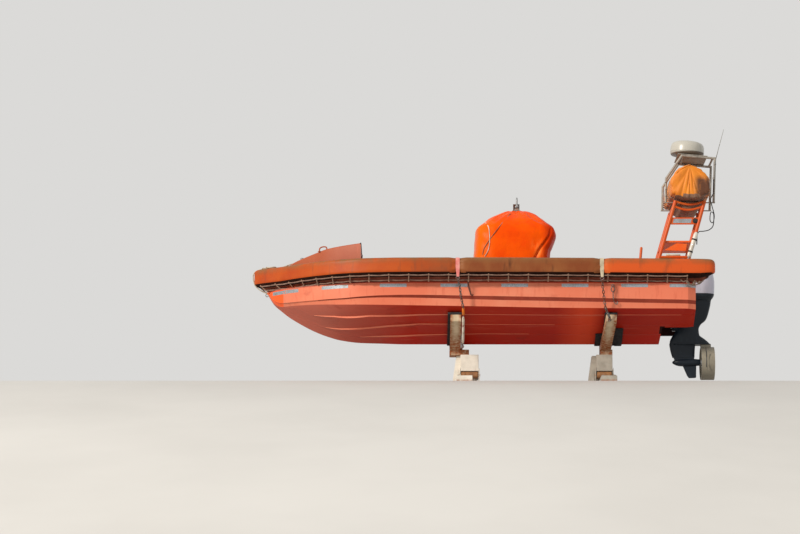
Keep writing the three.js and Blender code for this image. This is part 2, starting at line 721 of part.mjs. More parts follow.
function radome() {
  const profile = [
    [0, 0], [120, 0], [126, 26], [224, 34], [240, 60],
    [240, 120], [228, 178], [190, 218], [110, 240], [0, 246],
  ];
  const dome = new THREE.LatheGeometry(profile.map(([r, h]) => new THREE.Vector2(r, h)), 24);
  dome.rotateX(Math.PI / 2);
  return dome.translate(0, 0, 8 + GAP).rotateY(-RADAR.tilt).translate(RADAR.x, 0, RADAR.plateZ);
}

function whipAntenna() {
  const y = RADAR.y + RADAR.tube + 14 + GAP;
  return joined(
    rod(point(-3240, y, 2940), point(-3262, y, 3200), 14, 14, 10),
    rod(point(-3262, y, 3196), point(-3389, y, 3660), 7, 3, 8),
  );
}

// Inflation bottle: the gas cylinder for the righting bag, strapped to the port aft leg
function inflationBottle() {
  const y = MAST.y + MAST.tube + 34 - 2 * GAP;
  const low = point(legX("aft", 1800) + 10, y, 1800);
  const high = point(legX("aft", 2190) - 6, y, 2190);
  const profile = [
    [0, -70], [12, -70], [12, -32], [32, 0], [32, 68], [34, 70], [34, 92], [32, 94],
    [32, 248], [34, 250], [34, 272], [32, 274], [32, 352], [14, 384], [0, 386],
  ];
  return turned(profile, low, high);
}

function towPost() {
  const x = -2110;
  const y = 780;
  const foot = DECK_Z + DECK_THICKNESS + 2 * GAP;
  return joined(
    block(x - 60, x + 60, y - 60, y + 60, foot, foot + 12),
    rod(point(x, y, foot + 6), point(x - 170, y, 1998), 19),
    new THREE.SphereGeometry(19, 12, 6).translate(x - 170, y, 1998),
  );
}

// Outboard motor: clamp bracket on the well's transom, swivel bracket, leg, cowl and guard
function transomX(z) {
  return WELL.keelX + ((WELL.topX - WELL.keelX) * (z - KEEL_Z)) / (FLANGE_Z - KEEL_Z);
}

function clampBracket() {
  const top = WELL.ledgeZ + GAP;
  const face = (z) => transomX(z) - GAP - 0.5;
  const cheeks = [-142, 112].map((y) =>
    sidePlate(
      [
        [face(1000), 1000], [face(1198), 1198], [face(1198), top], [-2440, top], [-2440, top + 16],
        [TILT_PIN.x + 34, TILT_PIN.z + 22], [TILT_PIN.x - 24, TILT_PIN.z + 20],
        [TILT_PIN.x - 40, 1180], [face(1000) - 22, 1000],
      ],
      y,
      y + 30,
    ),
  );
  const hook = block(-2470, -2440, -142, 142, top, top + 16);
  const plate = sidePlate(
    [[face(1010), 1010], [face(1150), 1150], [face(1150) - 8, 1150], [face(1010) - 8, 1010]], -130, 130,
  );
  const pinReach = 160;
  const pin = rod(
    point(TILT_PIN.x, -pinReach, TILT_PIN.z), point(TILT_PIN.x, pinReach, TILT_PIN.z), 12, 12, 16,
  );
  return joined(...cheeks, hook, plate, pin);
}

function swivelBracket() {
  const { x, z } = TILT_PIN;
  const body = sidePlate(
    [
      [x + 20, z - 18], [x + 20, z + 18], [STEER.x, z + 18],
      [STEER.x, STEER.lowZ], [x - 62, STEER.lowZ], [x - 40, 1140],
    ],
    -60,
    60,
  );
  const eyes = rod(point(x, -100, z), point(x, 100, z), 26, 26, 16);
  const tube = rod(point(STEER.x, 0, STEER.lowZ), point(STEER.x, 0, z + 24), STEER.tube, STEER.tube, 16);
  const pinBore = rod(point(x, -200, z), point(x, 200, z), 12.5, 12.5, 16);
  const steerBore = rod(point(STEER.x, 0, 700), point(STEER.x, 0, 1400), STEER.bore, STEER.bore, 16);
  const behind = block(STEER.x - 200, STEER.x, -120, 120, 700, 1400);
  return cutFrom(joined(cutFrom(joined(body, eyes), behind), tube), pinBore, steerBore);
}

// The leg from the engine pan down to the strut above the torpedo, in flattened oval sections
const LEG_FORE_X = STEER.x - STEER.tube - 6;
const LEG_SECTION = [
  { z: 1289.7, fore: -2626, aft: -3214, half: 158 },
  { z: 1268, fore: -2634, aft: -3200, half: 146 },
  { z: 1264, fore: LEG_FORE_X, aft: -3060, half: 108 },
  { z: 1180, fore: LEG_FORE_X, aft: -2990, half: 86 },
  { z: 1040, fore: LEG_FORE_X, aft: -2960, half: 66 },
  { z: 820, fore: LEG_FORE_X, aft: -2968, half: 56 },
  { z: 660, fore: -2706, aft: -3000, half: 50 },
  { z: 470, fore: -2700, aft: -2960, half: 38 },
];
const PAN_Z = LEG_SECTION[0].z;
const VENTILATION_PLATE = { fore: -2664, aft: -3196, half: 98, z: 638, thick: 12 };

function motorLeg() {
  const leg = loft(LEG_SECTION.map((row) => ovalRing(row, 0.7, 12)));
  const torpedo = turned(
    [[0, 2650], [30, 2680], [52, 2740], [56, 2850], [52, 2960], [44, 3046], [0, 3046]],
    point(0, 0, PROPELLER_Z),
    point(-1, 0, PROPELLER_Z),
  );
  const neck = sidePlate([[-2712, 380], [-2950, 380], [-2958, 480], [-2706, 480]], -36, 36);
  const skeg = sidePlate([[-2780, 380], [-2990, 380], [-2985, 178], [-2880, 170]], -9, 9);
  const { z, thick } = VENTILATION_PLATE;
  const plate = loft(
    [z, z + thick].map((height) => ovalRing({ ...VENTILATION_PLATE, z: height }, 0.55, 16)),
  );
  const shaft = rod(point(STEER.x, 0, 850), point(STEER.x, 0, 1275), STEER.shaft, STEER.shaft, 16);
  const yoke = block(-2800, STEER.x + 26, -40, 40, 836, STEER.lowZ - 6);
  return joined(leg, torpedo, neck, skeg, plate, shaft, yoke);
}

// Guard: a ring round the propeller, hung from the ventilation plate by two lugs
const GUARD = { x: -3143, radius: 233, wall: 14, reach: 93, drop: 14 };

function propellerGuard() {
  const { radius, wall, reach } = GUARD;
  const inner = radius - wall;
  const ring = turned(
    [[inner, -reach], [radius, -reach], [radius, reach], [inner, reach], [inner, -reach]],
    point(GUARD.x, 0, PROPELLER_Z - GUARD.drop),
    point(GUARD.x - 1, 0, PROPELLER_Z - GUARD.drop),
    32,
  );
  const lugs = SIDES.map(({ sign }) =>
    block(GUARD.x - 50, GUARD.x + 90, sign * 60 - 9, sign * 60 + 9, 592, VENTILATION_PLATE.z - GAP),
  );
  return joined(ring, ...lugs);
}

// Propeller blade sections: radius, half the chord, and pitch in degrees
const BLADE = [
  { r: 28, half: 30, pitch: 60 },
  { r: 90, half: 62, pitch: 44 },
  { r: 150, half: 66, pitch: 32 },
  { r: 182, half: 34, pitch: 26 },
];
const BLADE_X = -3101;
const BLADE_COUNT = 3;

function propeller() {
  const hub = rod(point(-3046 - GAP, 0, 0), point(-3150, 0, 0), 40, 34, 16);
  const blades = [...Array(BLADE_COUNT).keys()].map((i) => {
    const sections = BLADE.map(({ r, half, pitch }) => {
      const turn = THREE.MathUtils.degToRad(pitch);
      const [dx, dy] = [Math.sin(turn) * half, Math.cos(turn) * half];
      return [
        point(BLADE_X + dx, dy, r), point(BLADE_X + 4, 0, r + 1),
        point(BLADE_X - dx, -dy, r), point(BLADE_X - 4, 0, r - 1),
      ];
    });
    return loft(sections).rotateX((i * 2 * Math.PI) / BLADE_COUNT);
  });
  return joined(hub, ...blades).translate(0, 0, PROPELLER_Z);
}

const COWL = [
  { z: PAN_Z + GAP, fore: -2622, aft: -3218, half: 162 },
  { z: 1312, fore: -2608, aft: -3236, half: 178 },
  { z: 1360, fore: -2600, aft: -3250, half: 188 },
  { z: 1500, fore: -2600, aft: -3257, half: 194 },
  { z: 1640, fore: -2604, aft: -3240, half: 188 },
  { z: 1730, fore: -2620, aft: -3190, half: 164 },
  { z: 1772, fore: -2680, aft: -3090, half: 110 },
];
const COWL_WALL = 6;

function motorCowl() {
  const count = 20;
  const inset = COWL_WALL + 4;
  const shell = loft(COWL.map((row) => ovalRing(row, 0.62, count)));
  const inner = COWL.map(({ z, fore, aft, half }) => ({
    z: z - inset,
    fore: fore - inset,
    aft: aft + inset,
    half: half - inset,
  }));
  const inside = loft(inner.map((row) => ovalRing(row, 0.62, count)));
  return cutFrom(shell, inside);
}

function powerhead() {
  return block(-3060, -2720, -100, 100, PAN_Z + GAP, 1640);
}

// Cradle: a pedestal on a cross beam, with two arms laid along the V of the bottom
const ARM = { inner: 60, outer: 872, depth: 96, half: 78, pad: 34 };

function underBottom(y, drop) {
  return KEEL_Z + y * Math.tan(DEADRISE) - drop;
}

// The hull's own skin, set down by the clearance, which shapes the top of each pad
function hullCutters(body) {
  const lowered = [-1, 0, 1].map((side) => body.clone().translate(0, side * 1.2 * GAP, -1.2 * GAP));
  return [body, ...lowered];
}

function cradleFrame({ x, footX }) {
  const clear = ARM.pad + 2 * GAP + 8;
  const arms = SIDES.map(({ sign }) => {
    const outline = [
      [sign * ARM.inner, underBottom(ARM.inner, clear)],
      [sign * ARM.outer, underBottom(ARM.outer, clear)],
      [sign * (ARM.outer - 10), underBottom(ARM.outer, clear + ARM.depth)],
      [sign * (ARM.inner - 50), underBottom(ARM.inner, clear + ARM.depth + 20)],
      [sign * (ARM.inner - 50), underBottom(ARM.inner, clear)],
    ];
    return crossPlate(outline, x - ARM.half, x + ARM.half);
  });
  const pedestal = block(footX - 160, footX + 160, -180, 180, 90, 500);
  const head = block(Math.min(x, footX) - 78, Math.max(x, footX) + 78, -120, 120, 420, 560);
  const beam = block(footX - 110, footX + 110, -860, 860, 0, 100);
  return joined(...arms, pedestal, head, beam);
}

function cradlePad({ x }, sign, body) {
  const top = -24;
  const outline = [
    [sign * 90, underBottom(90, top)],
    [sign * 850, underBottom(850, top)],
    [sign * 850, underBottom(850, ARM.pad + 8)],
    [sign * 90, underBottom(90, ARM.pad + 8)],
  ];
  return cutFrom(crossPlate(outline, x - ARM.half - 42, x + ARM.half + 42), ...hullCutters(body));
}

// Gripes: a web strap over the fender and a chain with a turnbuckle down to the cradle arm
const STRAP = { width: 56, thick: 4, endZ: 1420 };

// A line of points moved sideways by a distance, to the left of its run
function offsetLine(points, distance) {
  const ways = points.slice(1).map(([y, z], i) => {
    const [dy, dz] = [y - points[i][0], z - points[i][1]];
    const length = Math.hypot(dy, dz);
    return [-dz / length, dy / length];
  });
  return points.map(([y, z], i) => {
    const before = ways[Math.max(0, i - 1)];
    const after = ways[Math.min(ways.length - 1, i)];
    const share = distance / (1 + before[0] * after[0] + before[1] * after[1]);
    return [y + (before[0] + after[0]) * share, z + (before[1] + after[1]) * share];
  });
}
const GRIPE_X = { fore: FENDER.joints[0], aft: FENDER.joints[1] };

function gripeStrap(which, sign) {
  const x = GRIPE_X[which];
  const [outer, inner] = fenderPlanAt(x + STRAP.width / 2, sign).map((place) => Math.abs(place.y));
  const face = outer - PINCH[0].shrink;
  const top = FENDER.topZ - PINCH[0].shrink;
  const run = [
    [inner - COAMING.thickness - 50, COAMING.topZ], [inner, COAMING.topZ], [face - 80, top],
    [face - 36, top - 6], [face - 9, top - 28], [face, top - 66], [face, STRAP.endZ],
  ];
  const clear = 2 * GAP;
  const outline = [...offsetLine(run, clear), ...offsetLine(run, clear + STRAP.thick).reverse()];
  return crossPlate(outline.map(([y, z]) => [sign * y, z]), x - STRAP.width / 2, x + STRAP.width / 2);
}

function gripeChain(which, sign) {
  const x = GRIPE_X[which];
  const station = CRADLE.find((row) => row.name === which);
  const [outer] = fenderPlanAt(x, sign).map((place) => Math.abs(place.y));
  const face = outer - PINCH[0].shrink + 2 * GAP;
  const high = point(x, sign * (face + 2), STRAP.endZ - GAP);
  const low = point(station.x, sign * (ARM.outer + 20), underBottom(ARM.outer, 90));
  const along = low.clone().sub(high);
  const at = (share) => high.clone().addScaledVector(along, share);
  return joined(
    block(x - 34, x + 34, ...[sign * (face - 8), sign * (face + 12)].sort((a, b) => a - b), 1404, high.z),
    rod(high.clone().setZ(1410), at(0.42), 9, 9, 8),
    rod(at(0.4), at(0.82), 17, 17, 8),
    rod(at(0.8), at(1), 9, 9, 8),
    new THREE.SphereGeometry(20, 10, 6).translate(...low.toArray()),
  );
}

// The assembly
const boat = new THREE.Group();
boat.position.x = -BOX_MIDDLE_X;

function add(name, geometry, paint) {
  const mesh = new THREE.Mesh(geometry, new THREE.MeshStandardMaterial(PAINT[paint]));
  mesh.name = name;
  boat.add(mesh);
  return mesh;
}

const hullBody = hull();
add("hull", hullBody, "gelcoat");
add("cockpit_deck", deck(), "deck");
add("foredeck_casing", foredeckCasing(), "gelcoat");
add("fender_bow", bowFender(), "fenderOrange");
add("console_cover", consoleCover(), "cover");
add("lifting_link", liftingLink(), "steel");
add("mast_cross_fore", mastCross("fore"), "mast");
add("mast_cross_aft", mastCross("aft"), "mast");
add("mast_shelf", mastShelf(), "mast");
add("righting_bag", rightingBag(), "bag");
add("radar_frame", radarFrame(), "aluminium");
add("radar_plate", radarPlate(), "aluminium");
add("radome", radome(), "white");
add("whip_antenna", whipAntenna(), "white");
add("inflation_bottle", inflationBottle(), "white");
add("tow_post", towPost(), "mast");
add("clamp_bracket", clampBracket(), "engineDark");
add("swivel_bracket", swivelBracket(), "engineDark");
add("motor_leg", motorLeg(), "engineDark");
add("motor_cowl", motorCowl(), "engineLight");
add("powerhead", powerhead(), "steel");
add("propeller_guard", propellerGuard(), "beige");
add("propeller", propeller(), "steel");
for (const { name, sign } of SIDES) {
  add(`coaming_${name}`, coaming(sign), "gelcoat");
  add(`fender_middle_${name}`, fenderLength(...FENDER.joints, sign), "fenderBrown");
  add(`fender_aft_${name}`, aftFender(sign), "fenderOrange");
  add(`grab_line_${name}`, grabLine(sign), "rope");
  add(`mast_side_${name}`, mastSide(sign), "mast");
  for (const station of CRADLE) {
    add(`cradle_pad_${station.name}_${name}`, cradlePad(station, sign, hullBody), "rubber");
    add(`gripe_strap_${station.name}_${name}`, gripeStrap(station.name, sign),
      station.name === "fore" ? "strapRed" : "strapBeige");
    add(`gripe_chain_${station.name}_${name}`, gripeChain(station.name, sign), "rust");
  }
}
for (const station of CRADLE) {
  add(`cradle_${station.name}`, cradleFrame(station), "cradle");
}

export default boat;
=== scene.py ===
import math

import bmesh
import bpy
import numpy as np
from mathutils import Matrix, Vector


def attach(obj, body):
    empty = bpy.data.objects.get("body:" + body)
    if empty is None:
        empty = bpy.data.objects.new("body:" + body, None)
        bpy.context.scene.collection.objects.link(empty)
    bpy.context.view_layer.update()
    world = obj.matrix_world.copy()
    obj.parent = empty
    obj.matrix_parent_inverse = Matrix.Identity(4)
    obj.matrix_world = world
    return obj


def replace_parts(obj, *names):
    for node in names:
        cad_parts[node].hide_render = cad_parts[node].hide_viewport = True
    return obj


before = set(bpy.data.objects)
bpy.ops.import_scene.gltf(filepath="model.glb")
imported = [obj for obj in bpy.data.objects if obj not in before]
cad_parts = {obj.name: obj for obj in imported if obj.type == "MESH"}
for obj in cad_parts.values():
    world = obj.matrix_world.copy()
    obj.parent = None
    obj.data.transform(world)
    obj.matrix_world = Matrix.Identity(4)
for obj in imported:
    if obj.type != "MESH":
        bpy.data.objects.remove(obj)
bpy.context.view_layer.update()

# Studio: a plain pale floor under an even pale sky, and one large key light low on the port bow.
# The photo was taken from 50 m away and from below the cradle's feet, so the camera stands there too,
# and the floor falls away towards it just outside the feet.
CAMERA_PLACE = (1.256, 50.0, -6.176)
CAMERA_PITCH = math.radians(9.01)
LENS_PIXELS = 3585
SENSOR_WIDTH = 36.0
PHOTO_WIDTH = 800
FLOOR_REACH = 90.0
FLOOR_CREST = 0.95
FLOOR_BEND = 0.3
FLOOR_FALL = 0.165
FLOOR_LEAD = 0.5
BEND_STEPS = 8
CAMERA_SIGHT = 400
KEY_PLACE = (41.0, 41.0, 27.0)
KEY_POWER = 36000
KEY_SIZE = 8.0


def linear(hex_colour):
    """An sRGB hex value as the linear colour that a shader reads."""
    channels = [int(hex_colour[i : i + 2], 16) / 255 for i in (1, 3, 5)]
    return [c / 12.92 if c <= 0.04045 else ((c + 0.055) / 1.055) ** 2.4 for c in channels] + [1.0]


def add_node(tree, kind, values=(), **settings):
    """Adds one node. values pairs an input's name or number with a constant, or with a socket to link."""
    node = tree.nodes.new(kind)
    for key, value in settings.items():
        setattr(node, key, value)
    for key, value in dict(values).items():
        if isinstance(value, bpy.types.NodeSocket):
            tree.links.new(value, node.inputs[key])
        else:
            node.inputs[key].default_value = value
    return node


def surface(name, colour, roughness, **sockets):
    """A material and its nodes, with the numbers that are the same all over set on the shader itself."""
    material = bpy.data.materials.new(name)
    material.use_nodes = True
    shader = material.node_tree.nodes["Principled BSDF"]
    shader.inputs["Base Color"].default_value = linear(colour)
    shader.inputs["Roughness"].default_value = roughness
    for key, value in sockets.items():
        shader.inputs[key.replace("_", " ")].default_value = value
    return material, material.node_tree


def object_place(tree):
    """Where a point lies in its object, in metres."""
    return add_node(tree, "ShaderNodeTexCoord").outputs["Object"]


def ramp(tree, value, low, high):
    """A value as a mask that runs from 0 at low to 1 at high."""
    values = {"Value": value, "From Min": low, "From Max": high}
    return add_node(tree, "ShaderNodeMapRange", values).outputs[0]


def patches(tree, size, low, high, stretch=(1, 1, 1), seed=0.0, detail=4.0):
    """A mask of soft patches about size millimetres across, drawn out where stretch is below 1."""
    move = {"Vector": object_place(tree), "Location": (seed, seed, 0), "Scale": stretch}
    moved = add_node(tree, "ShaderNodeMapping", move)
    values = {"Vector": moved.outputs[0], "Scale": 1000 / size, "Detail": detail, "Roughness": 0.6}
    noise = add_node(tree, "ShaderNodeTexNoise", values)
    return ramp(tree, noise.outputs[0], low, high)


def axis_mask(tree, axis, low, high):
    """A mask that runs from 0 to 1 between two places along an axis, in the object's metres."""
    along = add_node(tree, "ShaderNodeSeparateXYZ", {"Vector": object_place(tree)}).outputs[axis]
    return ramp(tree, along, low, high)


def both(tree, first, second):
    """The part that two masks share."""
    return add_node(tree, "ShaderNodeMath", {0: first, 1: second}, operation="MULTIPLY").outputs[0]


def layered(tree, under, over, mask):
    """One colour over another where the mask says so. Each colour is a hex value or a socket."""
    sides = [side if isinstance(side, bpy.types.NodeSocket) else linear(side) for side in (under, over)]
    return add_node(tree, "ShaderNodeMix", {0: mask, 6: sides[0], 7: sides[1]}, data_type="RGBA").outputs[2]


def dressed(material, colour, heights=()):
    """Gives a material its colour and a relief of heights, each with its depth in millimetres."""
    tree = material.node_tree
    shader = tree.nodes["Principled BSDF"]
    tree.links.new(colour, shader.inputs["Base Color"])
    before = None
    for height, depth in heights:
        values = {"Height": height, "Distance": depth / 1000, "Strength": 1.0}
        if before:
            values["Normal"] = before
        before = add_node(tree, "ShaderNodeBump", values).outputs[0]
    if before:
        tree.links.new(before, shader.inputs["Normal"])
    return material


def make_studio():
    camera = bpy.data.objects.new("camera", bpy.data.cameras.new("camera"))
    camera.data.sensor_width = SENSOR_WIDTH
    camera.data.lens = LENS_PIXELS * SENSOR_WIDTH / PHOTO_WIDTH
    camera.location = CAMERA_PLACE
    camera.rotation_euler = (math.pi / 2 + CAMERA_PITCH, 0, math.pi)
    camera.data.clip_end = CAMERA_SIGHT
    bpy.context.scene.collection.objects.link(camera)
    bpy.context.scene.camera = camera
    bpy.context.scene.view_settings.view_transform = "Standard"

    profile = [(-FLOOR_REACH, 0.0), (FLOOR_CREST - FLOOR_LEAD, 0.0)]
    for step in range(BEND_STEPS + 1):
        along = step / BEND_STEPS * FLOOR_BEND
        profile.append((FLOOR_CREST + along, -FLOOR_FALL * along * along / (2 * FLOOR_BEND)))
    foot_y, foot_z = profile[-1]
    for along in (FLOOR_LEAD, FLOOR_REACH):
        profile.append((foot_y + along, foot_z - FLOOR_FALL * along))
    points = [(x, y, z) for y, z in profile for x in (-FLOOR_REACH, FLOOR_REACH)]
    faces = [(2 * i, 2 * i + 1, 2 * i + 3, 2 * i + 2) for i in range(len(profile) - 1)]
    mesh = bpy.data.meshes.new("studio_floor")
    mesh.from_pydata(points, [], faces)
    mesh.shade_smooth()
    floor = bpy.data.objects.new("studio_floor", mesh)
    bpy.context.scene.collection.objects.link(floor)
    material, tree = surface("pale_floor", "#C4C3C0", 0.9)
    paint = layered(tree, "#C4C3C0", "#BCBBB8", patches(tree, 2600, 0.35, 0.75, (1, 0.25, 1)))
    mesh.materials.append(dressed(material, paint))

    key = bpy.data.objects.new("key", bpy.data.lights.new("key", "AREA"))
    key.data.energy = KEY_POWER
    key.data.size = KEY_SIZE
    key.data.color = linear("#FFF6EA")[:3]
    key.location = KEY_PLACE
    key.rotation_euler = (-Vector(key.location)).to_track_quat("-Z", "Y").to_euler()
    bpy.context.scene.collection.objects.link(key)
    world = bpy.data.worlds.new("sky")
    world.use_nodes = True
    background = world.node_tree.nodes["Background"]
    background.inputs[0].default_value = linear("#DBDAD8")
    background.inputs[1].default_value = 1.0
    bpy.context.scene.world = world


make_studio()

# Hull: a hard-chine GRP moulding with spray rails on a V bottom and a step along the topsides,
# laid up in orange gelcoat in one mould. Sun has chalked the topsides. The bottom is painted a deeper
# red, partly as painted shade, and paler towards the bow as painted light. The motor well and the
# underside of the step lie in the shade and are painted dark as painted shade, and the flange's outer
# edge takes the bottom's red as a painted shadow line.
HULL_X_TO_FRAME = 79.9
FLANGE_Z = 1384
DECK_Z = 1120
HULL_LINES = {
    "x": [
        3046, 3010, 2946, 2852, 2743, 2580, 2364, 2207, 2010, 1734, 1420, 1105, 50, -1050, -2100, -2810,
        -2920,
    ],
    "keel": [1372, 1304, 1204, 1123, 1037, 936, 824, 762, 706, 670, 660, 651, 650, 650, 650, 650, 654],
    "chine_y": [6, 30, 60, 120, 255, 420, 590, 690, 790, 878, 925, 945, 962, 948, 930, 920, 868],
    "chine_z": [
        1374, 1312, 1222, 1164, 1152, 1141, 1126, 1114, 1098, 1086, 1076, 1068, 1049, 1031, 1026, 1023, 1018,
    ],
    "knuckle": [
        1378, 1330, 1250, 1206, 1192, 1186, 1180, 1178, 1178, 1190, 1202, 1206, 1190, 1172, 1154, 1142, 1140,
    ],
    "sheer": [22, 96, 198, 312, 415, 530, 675, 766, 860, 950, 988, 1000, 1003, 990, 975, 965, 900],
}
CHAMFER_X = -2810
SPRAY_RAILS = [
    {"x": [2400, 2100, 1600, 900, 0, -2860], "y": [340, 500, 660, 735, 760, 760], "reach": 0.88},
    {"x": [2240, 1800, 1300, 900, -1150], "y": [180, 330, 450, 510, 510], "reach": 0.6},
    {"x": [1790, 1400, 900, 0, -750], "y": [130, 190, 240, 270, 270], "reach": 0.32},
]
RAIL_WIDTH = 42
# Each rail runs out over these lengths at its two ends, and all of them flatten towards the stern
RAIL_RUN_OUT = {"fore": 500, "aft": 140}
RAIL_GROWTH = {"x": [300, 1100], "share": [0.16, 1]}
STEP = {"x": [-240, 1180, 2030, 2300], "height": [50, 34, 7, 4], "inset": 30}
COCKPIT_FORE = 1700
COCKPIT_AFT = -2390
COCKPIT_WALL = 60
WELL_FORE_X = -2464
WELL_HALF = 440
# The hull's finishes, in the order of its slots; WELL and STEP_SHADE are painted shade
TOPSIDES, BOTTOM, WELL, STEP_SHADE = range(4)


def hull_mm(points):
    """Points in the hull's millimetres as metres in the shared frame."""
    return (np.asarray(points, float) + [HULL_X_TO_FRAME, 0, 0]) / 1000


def hull_place(point):
    """A point of the shared frame back in the hull's millimetres."""
    return point.x * 1000 - HULL_X_TO_FRAME, point.y * 1000, point.z * 1000


def smooth_column(xs, values, at):
    """A curve through a table's values that never overshoots between two rows."""
    order = np.argsort(xs)
    x, y = np.asarray(xs, float)[order], np.asarray(values, float)[order]
    span = np.diff(x)
    slope = np.diff(y) / span
    tangent = np.zeros(len(x))
    tangent[0], tangent[-1] = slope[0], slope[-1]
    for i in range(1, len(x) - 1):
        if slope[i - 1] * slope[i] > 0:
            before, after = 2 * span[i] + span[i - 1], span[i] + 2 * span[i - 1]
            tangent[i] = (before + after) / (before / slope[i - 1] + after / slope[i])
    at = np.clip(np.asarray(at, float), x[0], x[-1])
    i = np.clip(np.searchsorted(x, at) - 1, 0, len(x) - 2)
    t = (at - x[i]) / span[i]
    start = y[i] * (1 + 2 * t) * (1 - t) ** 2 + span[i] * tangent[i] * t * (1 - t) ** 2
    return start + y[i + 1] * t * t * (3 - 2 * t) + span[i] * tangent[i + 1] * t * t * (t - 1)


def hull_value(name, x):
    """A column of the hull's lines at x: fair along the boat, straight across the corner at the transom."""
    fair = smooth_column(HULL_LINES["x"], HULL_LINES[name], x)
    straight = np.interp(x, HULL_LINES["x"][::-1], HULL_LINES[name][::-1])
    return np.where(np.asarray(x) < CHAMFER_X, straight, fair)


def skin(rings, capped=True):
    """Points and faces of a closed skin over rings that all have the same number of points."""
    rings = [np.asarray(ring, float) for ring in rings]
    count = len(rings[0])
    points = [tuple(p) for ring in rings for p in ring]
    faces = []
    for r in range(len(rings) - 1):
        for i in range(count):
            j = (i + 1) % count
            faces.append((r * count + i, r * count + j, (r + 1) * count + j, (r + 1) * count + i))
    if capped:
        for r, ring in ((0, rings[0]), (len(rings) - 1, rings[-1])):
            middle = len(points)
            points.append(tuple(ring.mean(axis=0)))
            faces += [(middle, r * count + i, r * count + (i + 1) % count) for i in range(count)]
    return points, faces


def make_piece(
    name, shape, materials, body="root", smooth=35, bevel=0.0, segments=2, merge=1e-5
):
    """A mesh object with clean outward faces, smooth below an angle in degrees, riding on its body."""
    points, faces = shape
    mesh = bpy.data.meshes.new(name)
    mesh.from_pydata([tuple(p) for p in points], [], faces)
    shape_of = bmesh.new()
    shape_of.from_mesh(mesh)
    bmesh.ops.remove_doubles(shape_of, verts=shape_of.verts, dist=merge)
    bmesh.ops.dissolve_degenerate(shape_of, dist=merge, edges=shape_of.edges)
    bmesh.ops.recalc_face_normals(shape_of, faces=shape_of.faces)
    if bevel:
        sharp = [e for e in shape_of.edges if e.is_manifold and e.calc_face_angle() > math.radians(smooth)]
        bmesh.ops.bevel(
            shape_of, geom=sharp, offset=bevel, segments=segments, affect="EDGES", clamp_overlap=True
        )
    shape_of.to_mesh(mesh)
    shape_of.free()
    mesh.shade_smooth()
    mesh.set_sharp_from_angle(angle=math.radians(smooth))
    for material in materials if isinstance(materials, (list, tuple)) else [materials]:
        mesh.materials.append(material)
    piece = bpy.data.objects.new(name, mesh)
    bpy.context.scene.collection.objects.link(piece)
    if body:
        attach(piece, body)
    return piece


def evaluated(piece):
    """Applies a piece's modifiers to its mesh and takes them off."""
    bpy.context.view_layer.update()
    depsgraph = bpy.context.evaluated_depsgraph_get()
    mesh = bpy.data.meshes.new_from_object(piece.evaluated_get(depsgraph))
    old = piece.data
    piece.modifiers.clear()
    piece.data = mesh
    name = old.name
    bpy.data.meshes.remove(old)
    mesh.name = name


def cut_away(piece, cutters):
    """Cuts closed shapes out of a piece."""
    made = []
    for number, shape in enumerate(cutters):
        cutter = make_piece(f"cutter_{number}", shape, [], body=None)
        change = piece.modifiers.new("cut", "BOOLEAN")
        change.operation = "DIFFERENCE"
        change.solver = "FAST"
        change.object = cutter
        made.append(cutter)
    evaluated(piece)
    for cutter in made:
        bpy.data.objects.remove(cutter)


def extruded(near, far):
    """Points and faces of a solid between two outlines in mm that have the same number of points."""
    count = len(near)
    sides = [(i, (i + 1) % count, count + (i + 1) % count, count + i) for i in range(count)]
    return hull_mm([*near, *far]), [*sides, tuple(range(count)), tuple(range(count, 2 * count))]


def prism(outline, y_low, y_high):
    """An outline in X and Z, carried across the boat from y_low to y_high."""
    return extruded(*([(x, y, z) for x, z in outline] for y in (y_low, y_high)))


def hull_half(x):
    """Half of the hull's section at x, from the keel round to the middle of its top."""
    keel, chine_y, chine_z = (float(hull_value(name, x)) for name in ("keel", "chine_y", "chine_z"))
    knuckle, sheer = (float(hull_value(name, x)) for name in ("knuckle", "sheer"))

    def bottom(y):
        return keel + (chine_z - keel) * min(1, abs(y) / chine_y)

    half = [(min(14, chine_y * 0.1), keel)]
    for rail in reversed(SPRAY_RAILS):
        y = min(float(np.interp(x, rail["x"][::-1], rail["y"][::-1])), chine_y * rail["reach"])
        fore_end, aft_end = rail["x"][0], rail["x"][-1]
        run_out = min((fore_end - x) / RAIL_RUN_OUT["fore"], (x - aft_end) / RAIL_RUN_OUT["aft"])
        grown = np.clip(run_out, 0, 1) * np.interp(x, RAIL_GROWTH["x"], RAIL_GROWTH["share"])
        size = min(1, chine_y / 420)
        inner = y - RAIL_WIDTH * size
        tip = bottom(y) + (bottom(inner) - 4 - bottom(y)) * grown
        half += [(inner, bottom(inner)), (y + 2 * size, tip), (y + 5 * size, tip + 3 * grown)]
        half += [(y + 6 * size, bottom(y + 6 * size))]
    foot_z = max(chine_z + 2, knuckle - float(np.interp(x, STEP["x"], STEP["height"])))
    foot_y = chine_y + (sheer - chine_y) * 0.35
    head_y = max(foot_y + 2, min(sheer - 4, foot_y + STEP["inset"]))
    head_z = max(foot_z + 2, knuckle)
    lip = min(6, sheer * 0.1)
    half += [
        (chine_y - 2, chine_z - 1),
        (chine_y, chine_z + 1),
        (foot_y, foot_z),
        (head_y, head_z),
        (head_y + (sheer - head_y) * 0.5 - 2, head_z + (FLANGE_Z - head_z) * 0.5),
        (sheer - lip, FLANGE_Z - 12),
        (sheer, FLANGE_Z - 10),
        (sheer, FLANGE_Z),
    ]
    hollow = COCKPIT_AFT <= x <= COCKPIT_FORE
    inner = max(2, sheer - COCKPIT_WALL)
    low = DECK_Z if hollow else FLANGE_Z
    half += [(inner, FLANGE_Z), (max(1, min(inner, chine_y - COCKPIT_WALL)), low)]
    return half


def mirrored(x, half):
    return [(x, y, z) for y, z in half] + [(x, -y, z) for y, z in reversed(half)]


